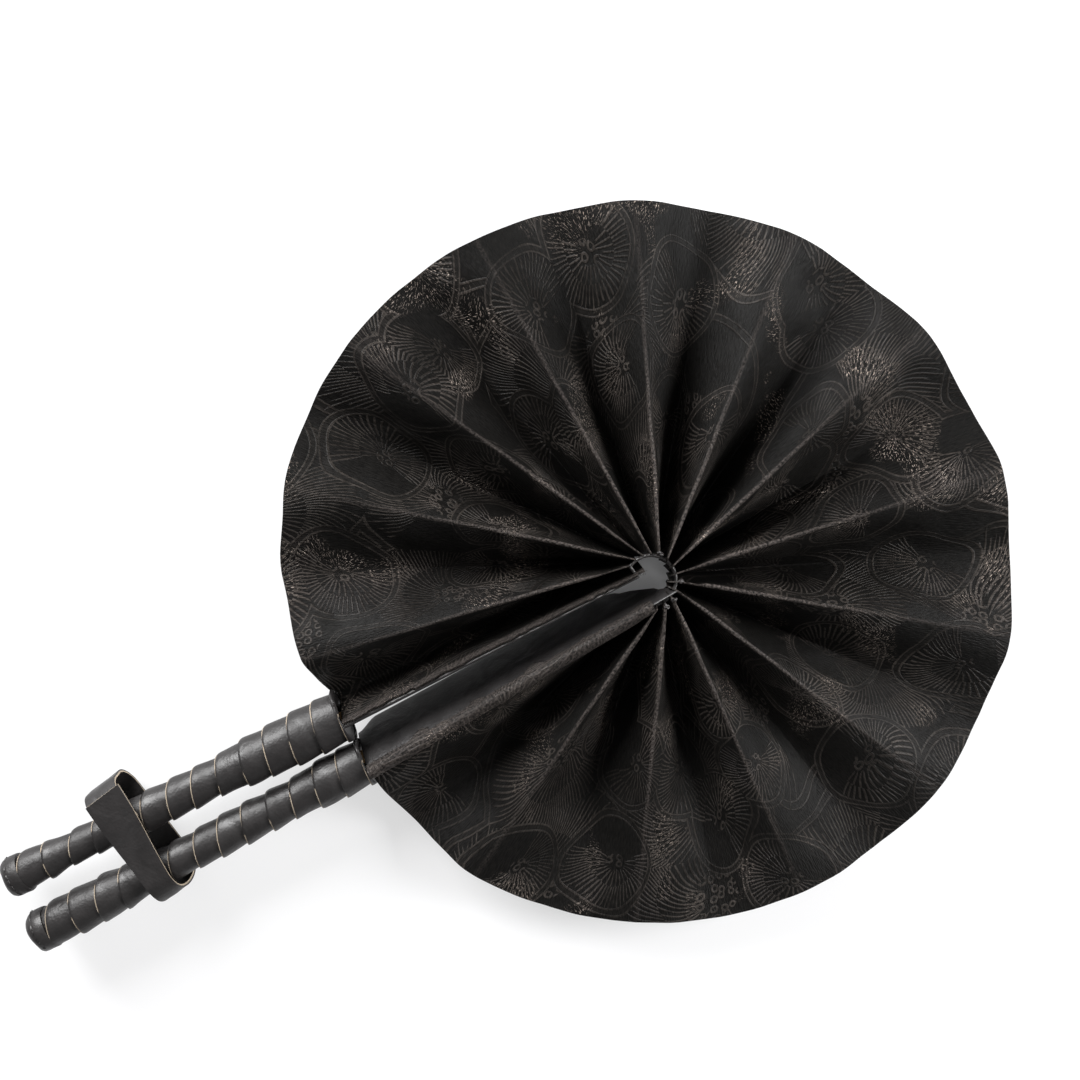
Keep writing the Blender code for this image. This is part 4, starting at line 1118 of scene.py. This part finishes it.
class FanGuards(bpy.types.Operator):
    """Makes the leather guards, with their slanting inner ends and a slight crown"""

    bl_idname = "fan.guards"
    bl_label = "Guards"

    def execute(self, context):
        for handle in (HANDLE_A, HANDLE_B):
            rings = [self.ring(handle, row) for row in range(GUARD_ROWS + 1)]
            piece = leather_solid(f"guard_leather_{handle.name}", rings)
            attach(piece, "handle_" + handle.name)
            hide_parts(f"guard_cover_{handle.name}")
        return {"FINISHED"}

    def ring(self, handle, row):
        """Crowned section of a guard. Guard B's inner end slants, and its back edge lies aside and lower."""
        ring = []
        for j in range(GUARD_SIDES):
            turn = math.tau * (j + 0.5) / GUARD_SIDES
            x = math.copysign(abs(math.cos(turn)) ** 0.5, math.cos(turn))
            z = math.copysign(abs(math.sin(turn)) ** 0.8, math.sin(turn))
            first = 0.03 - 0.03 * x
            if handle is HANDLE_B:
                first = np.interp(x, *GUARD_B_SLANT)
                first += 0.02 * noise.noise(Vector((x * 3.7, 2.1, 0)))
            share = first + (1 - first) * row / GUARD_ROWS
            back, front = handle.edge(share, -1), handle.edge(share, 1)
            if handle is HANDLE_B:
                # The shift of the back edge grows towards the rim, and fades where the grip starts.
                wide = 1 - 0.6 * fade((share - 0.93) / 0.07)
                back = back + array(-3.4 - 0.8 * share, 0, -0.3 - 3.9 * share) * MM * wide
            up = (front - back) / np.linalg.norm(front - back)
            leaf = array(-up[2], 0, up[0]) * handle.leaf_side
            soft = 0.2 * MM * noise.noise(Vector((share * 9, x * 1.3, z * 2 + 11)))
            out = z * (handle.thickness(share) / 2 - 0.1 * MM)
            out += math.copysign(soft * (1 - abs(x) ** 3), z)
            ring.append((back + front) / 2 + (front - back) / 2 * x + leaf * out)
        return ring


def leather_solid(name, rings, closed=False):
    """Solid through rings of points, its ends shut by a fan of faces each, or joined where it is closed."""
    rings = np.array(rings)
    rows, sides = rings.shape[:2]
    spots = rings.reshape(-1, 3) + HUB_SPOT
    faces = []
    for i in range(rows if closed else rows - 1):
        n = (i + 1) % rows
        for j in range(sides):
            k = (j + 1) % sides
            faces.append((i * sides + j, i * sides + k, n * sides + k, n * sides + j))
    if not closed:
        spots = np.concatenate([spots, [rings[0].mean(0) + HUB_SPOT, rings[-1].mean(0) + HUB_SPOT]])
        first, last = len(spots) - 2, len(spots) - 1
        for j in range(sides):
            k = (j + 1) % sides
            faces.append((first, k, j))
            faces.append((last, (rows - 1) * sides + j, (rows - 1) * sides + k))
    mesh = bpy.data.meshes.new(name)
    mesh.from_pydata([tuple(spot) for spot in spots], [], faces)
    if volume(mesh) < 0:
        mesh.flip_normals()
    mesh.shade_smooth()
    mesh.set_sharp_from_angle(angle=math.radians(40))
    return link(name, mesh, look("leather"))


def volume(mesh):
    """Signed volume, which is negative where the faces point inwards."""
    mesh.calc_loop_triangles()
    total = 0
    for triangle in mesh.loop_triangles:
        a, b, c = (mesh.vertices[i].co for i in triangle.vertices)
        total += a.dot(b.cross(c)) / 6
    return total


class FanGrips(bpy.types.Operator):
    """Winds the leather strip round both grips and folds their butts"""

    bl_idname = "fan.grips"
    bl_label = "Grips"

    def execute(self, context):
        looks = context.scene.fan_leather
        tree, ids = wound_strip_tree()
        for handle in (HANDLE_A, HANDLE_B):
            place = handle.grip_matrix()
            steps = [handle.length * i / 90 for i in range(91)]
            axis = curve_object(
                f"grip_axis_{handle.name}", [place @ Vector((0, 0, s)) for s in steps],
                [handle.radius(s) for s in steps],
            )
            side, front = place.to_3x3() @ Vector((1, 0, 0)), place.to_3x3() @ Vector((0, 1, 0))
            turns = handle.length / WRAP_PITCH + STRIP_SPARE_TURNS
            values = {
                "Axis": axis, "Side": side[:], "Front": front[:], "Length": handle.length,
                "Pitch": WRAP_PITCH, "Step": WRAP_STEP, "Lap": looks.strip_lap, "Wobble": looks.wobble,
                "Turns": turns, "Columns": int(turns * STRIP_COLUMNS), "Top": FIT_GAP,
                "Leather": look("leather"),
            }
            strip = grown(f"grip_strip_{handle.name}", tree, ids, values, solid=looks.strip_thickness)
            bpy.data.objects.remove(axis, do_unlink=True)
            collar, butt = self.collar(handle), self.butt(handle)
            for piece, node in ((strip, "grip_wrap_"), (collar, "grip_wrap_"), (butt, "butt_fold_")):
                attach(piece, "handle_" + handle.name)
                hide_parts(node + handle.name)
        return {"FINISHED"}

    def collar(self, handle):
        """Inner leather that closes the grip's top round the stick, with a cut rim."""
        hole, outer = COLLAR_HOLE, (handle.radius(0) - 0.75 * MM) / MM
        profile = (
            (hole, 2.0), (hole, 0.9), (outer * 0.8, 0.75), (outer - 0.5, 0.5), (outer, 0.7), (outer, 7),
            (hole, 7),
        )
        rings = []
        for r, z in profile:
            turns = [math.tau * i / 48 for i in range(48)]
            rings.append([self.spot(handle, r * MM, turn, z * MM) for turn in turns])
        return leather_solid(f"grip_collar_{handle.name}", rings, closed=True)

    def butt(self, handle):
        """End of the grip: the strip's last turn folded in over the stick's end in soft pleats."""
        radius = handle.radius(handle.length) + 0.85 * MM
        top = handle.length - 2.5 * MM
        phase = 1 if handle is HANDLE_A else 2.4
        rings = []
        for share, z in BUTT_PROFILE:
            ring = []
            for i in range(64):
                turn = math.tau * i / 64
                fold = 0.5 + 0.5 * math.cos(3 * turn + 0.8 * math.sin(2 * turn) + phase)
                inner = fade((z - 3.5) / 2)
                uneven = noise.noise(Vector((math.cos(turn), math.sin(turn), z / 3)))
                r = radius * share * (1 - 0.05 * inner * fold) * (1 + 0.03 * uneven)
                drop = -0.5 * inner * fold**3 * min(share * 1.6, 1)
                ring.append(self.spot(handle, r, turn, top + (z + drop) * MM))
            rings.append(ring)
        return leather_solid(f"butt_leather_{handle.name}", rings)

    def spot(self, handle, radius, turn, height):
        """Spot round a grip's line, from the hub."""
        spot = Vector((radius * math.cos(turn), radius * math.sin(turn), height))
        return np.array(handle.grip_matrix() @ spot) - HUB_SPOT


def keeper_path():
    """Middle line of the band in its own plane, from its inner end under the lap to its outer end, and
    the band's middle."""
    half = KEEPER_LEATHER / 2
    a, b = HANDLE_A.centre(KEEPER_Y).x, HANDLE_B.centre(KEEPER_Y).x
    spread = KEEPER_WIDTH / 2 + (b - a + KEEPER_PAST_GRIP_A) / 2 * math.sin(KEEPER_SKEW)
    top = KEEPER_Y + KEEPER_SLIDE_UP + spread
    on_a = HANDLE_A.widest(top, HANDLE_A.butt.y) + FIT_GAP
    on_b = HANDLE_B.widest(top, HANDLE_B.butt.y) + FIT_GAP
    left = a - KEEPER_PAST_GRIP_A + half
    right = b + on_b + KEEPER_SKEW_ROOM + half
    front = max(on_a + KEEPER_LEATHER + FIT_GAP, on_b) + half
    back = front - KEEPER_DEPTH + KEEPER_LEATHER
    under = front - KEEPER_LEATHER - FIT_GAP
    bend = KEEPER_BEND - half
    bend_b = (front + on_b + half) / 2
    tuck = bend - (front - under) / 2
    low = Vector((left + bend, back + bend))
    far = Vector((right - bend_b, front - bend_b))
    line = far - low
    foot = math.atan2(line.y, line.x) - math.acos((bend - bend_b) / line.length) + math.tau
    points = []
    for i in range(7):
        points.append((left + tuck + KEEPER_LAP * (1 - i / 7), under))
    for centre, radius, start, stop, steps in (
        ((left + tuck, under - tuck), tuck, math.pi / 2, math.pi, 16),
        (low, bend, math.pi, foot, 20),
        (far, bend_b, foot, 2.5 * math.pi, 36),
    ):
        for i in range(steps + 1):
            turn = start + (stop - start) * i / steps
            points.append((centre[0] + radius * math.cos(turn), centre[1] + radius * math.sin(turn)))
    end = (left + KEEPER_FREE_EDGE, front)
    start = points[-1]
    for i in range(1, 25):
        points.append((start[0] + (end[0] - start[0]) * i / 24, start[1] + (end[1] - start[1]) * i / 24))
    return np.array(points), Vector(((left + right) / 2, KEEPER_Y, 0))


class FanKeeper(bpy.types.Operator):
    """Makes the leather band round both grips, lapped on its front"""

    bl_idname = "fan.keeper"
    bl_label = "Keeper band"

    def execute(self, context):
        path, middle = keeper_path()
        lengths = np.concatenate([[0], np.cumsum(np.linalg.norm(np.diff(path, axis=0), axis=1))])
        total = lengths[-1]
        tangent = np.gradient(path, axis=0)
        tangent /= np.linalg.norm(tangent, axis=1, keepdims=True)
        outward = np.stack([tangent[:, 1], -tangent[:, 0]], 1)
        place = Matrix.Translation(middle) @ Matrix.Rotation(KEEPER_SKEW, 4, "Z")
        place = place @ Matrix.Rotation(math.radians(90), 4, "X")

        def run(spot, start, span):
            """Share of a span behind a spot on the band; its start is counted back from the outer end."""
            return fade((lengths[spot] - (total - start * MM)) / (span * MM))

        rows = array(-1, -0.98, -0.7, -0.35, 0, 0.35, 0.7, 0.98, 1)
        grid = np.zeros((len(rows), len(path), 3))
        normals = np.zeros_like(grid)
        raw = np.zeros(grid.shape[:2])
        for j, (x, z) in enumerate(path):
            # The front part is narrow at its bend and widens to the outer end. It lies a little lower.
            half = 0.96 + (0.7 + 0.36 * run(j, 46, 46) - 0.96) * run(j, 70, 20)
            half = KEEPER_WIDTH / 2 * half
            slant = -run(j, 66, 20) * (0.12 * (x - middle.x) + 1.1 * MM)
            for i, row in enumerate(rows):
                stray = 0.25 * MM * noise.noise(Vector((lengths[j] * 60, row * 2, 1.5)))
                low = max(z + outward[j, 1] * stray, path[:, 1].min())
                spot = Vector((x - middle.x + outward[j, 0] * stray, low, row * half - slant))
                grid[i, j] = np.array(place @ spot)
                normals[i, j] = np.array(place.to_3x3() @ Vector((outward[j, 0], outward[j, 1], 0)))
                raw[i, j] = 1.0 if abs(row) == 1 or j in (0, len(path) - 1) else 0.0
        if np.sum(grid_normals(grid) * normals) < 0:
            grid, normals, raw = grid[::-1], normals[::-1], raw[::-1]
        piece = shell(
            "keeper_leather", grid, normals, KEEPER_LEATHER, look("leather"),
            marks={"raw": (raw * 0.3, raw)},
        )
        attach(piece, "keeper")
        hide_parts("keeper_band")
        return {"FINISHED"}


class FanThread(bpy.types.Operator):
    """Makes the gathering thread between the pleats' tips, and its knots"""

    bl_idname = "fan.thread"
    bl_label = "Thread"

    def execute(self, context):
        inset = 2 * FIT_GAP + THREAD_DIAMETER / 2
        height = crease_ends(2)[0][2] - THREAD_BELOW_TIP
        ends = []
        for handle in (HANDLE_A, HANDLE_B):
            end = handle.guard_point(0, height / math.sin(handle.tilts[0]), 0)
            end[1] += THREAD_END_GAP + THREAD_DIAMETER / 2 - THREAD_TUCK
            ends.append(end)
        stations = {}
        for k in range(2, CREASES):
            stations[k] = self.ring_spot(inset, crease_angle(k), height)
        stations[1], stations[CREASES + 1] = ends
        stations[CREASES] = (stations[CREASES - 1] + ends[1]) / 2
        for k in range(1, CREASES + 1):
            first, last = stations[k], stations[k + 1]
            points = []
            for i in range(5):
                spot = first + (last - first) * i / 4
                if 2 <= k < CREASES - 1:
                    angle = crease_angle(k) + (crease_angle(k + 1) - crease_angle(k)) * i / 4
                    spot = self.ring_spot(inset, angle, height)
                points.append(Vector(spot) + HUB)
            piece = tube(f"thread_{k:02d}", points, THREAD_DIAMETER * 0.6, look("thread"))
            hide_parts("gather_thread")
            tuple(points[0])
            tuple(points[-1])
            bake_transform(piece)
        for ridge, size, seed in KNOTS:
            tip = Vector(ridge_tip(2 * ridge, -0.3 * MM)) + HUB - Vector((0, 0, 0.4 * MM))
            turn = Matrix.Rotation(seed * 1.3, 3, "X") @ Matrix.Rotation(seed * 0.7, 3, "Y")
            points = []
            for i in range(KNOT_POINTS):
                t = math.tau * i / (KNOT_POINTS - 1)
                x, y = math.sin(t) + 2 * math.sin(2 * t), math.cos(t) - 2 * math.cos(2 * t)
                spot = Vector((x, y, -math.sin(3 * t))) * size / 4.2 * MM
                spot.rotate(turn)
                points.append(tip + spot)
            piece = tube(f"knot_{ridge:02d}", points, 0.4 * MM, look("thread"))
            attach(piece, f"ridge_{ridge:02d}")
            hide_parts("gather_thread")
        return {"FINISHED"}

    def ring_spot(self, inset, angle, height):
        """Spot of the thread, just inside the ring that the ridges' inner ends make."""
        return around(RIDGE_RING_RADIUS - inset, angle * TIP_SHARE, height) + RIDGE_RING_SHIFT


class FanSticks(bpy.types.Operator):
    """Gives the hidden sticks their wood"""

    bl_idname = "fan.sticks"
    bl_label = "Sticks"

    def execute(self, context):
        for name in ("stick_a", "stick_b"):
            frame["nodes"][name].data.materials[0] = look("wood")
        return {"FINISHED"}


class FanStage(bpy.types.Operator):
    """Makes the floor, the lamps, the world and the camera"""

    bl_idname = "fan.stage"
    bl_label = "Studio"

    def execute(self, context):
        looks = context.scene.fan_stage
        self.floor(looks)
        self.world(context.scene)
        right, up, back = self.directions()
        self.camera(context.scene, looks, right, up, back)
        key = up * 0.75 - right * 0.75 + back * 0.62
        self.lamp("key_softbox", key, 0.9, 0.5, looks.key_power)
        self.lamp("side_softbox", right * 0.95 + up * 0.1 + back * 0.5, 0.9, 0.4, looks.side_power)
        self.lamp("top_softbox", back * 1.0 + up * 0.2, 1.2, 1.2, looks.top_power)
        context.scene.view_settings.view_transform = "Standard"
        return {"FINISHED"}

    def floor(self, looks):
        """White paper. To the camera it glows by itself, more so away from the hub, which keeps the
        shadow near the fan."""
        size = FLOOR_HALF
        corners = [(-size, -size, 0), (size, -size, 0), (size, size, 0), (-size, size, 0)]
        mesh = bpy.data.meshes.new("floor")
        mesh.from_pydata(corners, [], [(0, 1, 2, 3)])
        made, node = new_material("studio_paper")
        # Paper fibres in flocks 1.1 mm apart.
        fibres = node("TexNoise", {"Vector": node("TexCoord", out="Object"), "Scale": 900.0})
        tone = node("MapRange", (fibres, 0, 1, 0.985, 1.0))
        tone = node("VectorMath", {"Vector": looks.floor[:], "Scale": tone}, operation="SCALE")
        paper = node("BsdfDiffuse", {"Color": tone})
        glow = node("Emission", {"Color": (1, 1, 1, 1), "Strength": 1.0})
        rays = node("LightPath", out=None).outputs
        seen = node("Math", (rays["Is Camera Ray"], rays["Is Glossy Ray"]), operation="MAXIMUM")
        seen = node("Math", (seen, rays["Is Transmission Ray"]), operation="MAXIMUM")
        place = node("NewGeometry", out="Position")
        away = node("VectorMath", (place, (HUB.x, HUB.y, 0)), out="Value", operation="DISTANCE")
        part = node("MapRange", (away, 0.04, 0.15, 0.06, 0.62), interpolation_type="SMOOTHSTEP")
        rest = node("MapRange", (away, 0.3, 0.9, 0, 0.38), interpolation_type="SMOOTHSTEP")
        part = node("Math", (part, rest), operation="ADD")
        part = node("Math", (seen, part), operation="MULTIPLY")
        node("OutputMaterial", (node("MixShader", (part, paper, glow)),), out=None)
        link("floor", mesh, made)

    def world(self, scene):
        """White surroundings: full strength to the camera, a third in reflections, a fifth as light."""
        world = bpy.data.worlds.new("studio")
        scene.world = world
        world.use_nodes = True
        world.node_tree.nodes.clear()
        node = partial(add_node, world.node_tree)
        rays = node("LightPath", out=None).outputs
        seen = node("Math", (rays["Is Glossy Ray"], 0.2), operation="MULTIPLY")
        seen = node("Math", (seen, rays["Is Camera Ray"]), operation="MAXIMUM")
        seen = node("Math", (seen, rays["Is Transmission Ray"]), operation="MAXIMUM")
        strength = node("MapRange", (seen, 0, 1, 0.2, 1.0))
        sky = node("Background", {"Color": (1, 1, 1, 1), "Strength": strength})
        node("OutputWorld", (sky,), out=None)

    def directions(self):
        """Directions to the picture's right and top, and back to the camera."""
        tip, turn, along = CAMERA_TIP, CAMERA_TURN, Vector((0, 1, 0))
        across = Vector((math.cos(tip), 0, math.sin(tip)))
        back = Vector((-math.sin(tip), 0, math.cos(tip)))
        right = along * math.cos(turn) + across * math.sin(turn)
        up = along * math.sin(turn) - across * math.cos(turn)
        return right, up, back

    def camera(self, scene, looks, right, up, back):
        camera = bpy.data.cameras.new("camera")
        camera.sensor_width, camera.lens = 36, looks.lens
        seat = bpy.data.objects.new("camera", camera)
        scene.collection.objects.link(seat)
        turned = Matrix((right, up, back)).transposed().to_4x4()
        seat.matrix_world = Matrix.Translation(HUB + CAMERA_SHIFT + back * CAMERA_DISTANCE) @ turned
        scene.camera = seat

    def lamp(self, name, way, far, wide, power):
        """Square softbox that faces the hub from a direction and a distance."""
        lamp = bpy.data.lights.new(name, "AREA")
        lamp.shape, lamp.size, lamp.energy = "SQUARE", wide, power
        holder = bpy.data.objects.new(name, lamp)
        bpy.context.scene.collection.objects.link(holder)
        holder.location = HUB + way.normalized() * far
        holder.rotation_euler = (-way).to_track_quat("-Z", "Y").to_euler()


class FanPanel(bpy.types.Panel):
    """Lists the fan's pieces and their sizes and colours"""

    bl_idname = "VIEW3D_PT_fan"
    bl_label = "Folding fan"
    bl_space_type = "VIEW_3D"
    bl_region_type = "UI"
    bl_category = "Fan"

    def draw(self, context):
        for group in (context.scene.fan_leaf, context.scene.fan_leather, context.scene.fan_stage):
            box = self.layout.box()
            for name in group.bl_rna.properties.keys():
                if name not in ("rna_type", "name"):
                    box.prop(group, name)
        for operator in OPERATORS:
            self.layout.operator(operator.bl_idname)


GROUPS = (FanLeafLooks, FanLeatherLooks, FanStudio)
OPERATORS = (FanLeaf, FanGuards, FanGrips, FanKeeper, FanThread, FanSticks, FanStage)


def register():
    for item in (*GROUPS, *OPERATORS, FanPanel):
        bpy.utils.register_class(item)
    bpy.types.Scene.fan_leaf = PointerProperty(type=FanLeafLooks)
    bpy.types.Scene.fan_leather = PointerProperty(type=FanLeatherLooks)
    bpy.types.Scene.fan_stage = PointerProperty(type=FanStudio)


def unregister():
    for name in ("fan_leaf", "fan_leather", "fan_stage"):
        delattr(bpy.types.Scene, name)
    for item in reversed((*GROUPS, *OPERATORS, FanPanel)):
        bpy.utils.unregister_class(item)


def main():
    register()
    bpy.ops.fan.leaf()
    bpy.ops.fan.guards()
    bpy.ops.fan.grips()
    bpy.ops.fan.keeper()
    bpy.ops.fan.thread()
    bpy.ops.fan.sticks()
    bpy.ops.fan.stage()


if __name__ == "__main__":
    main()
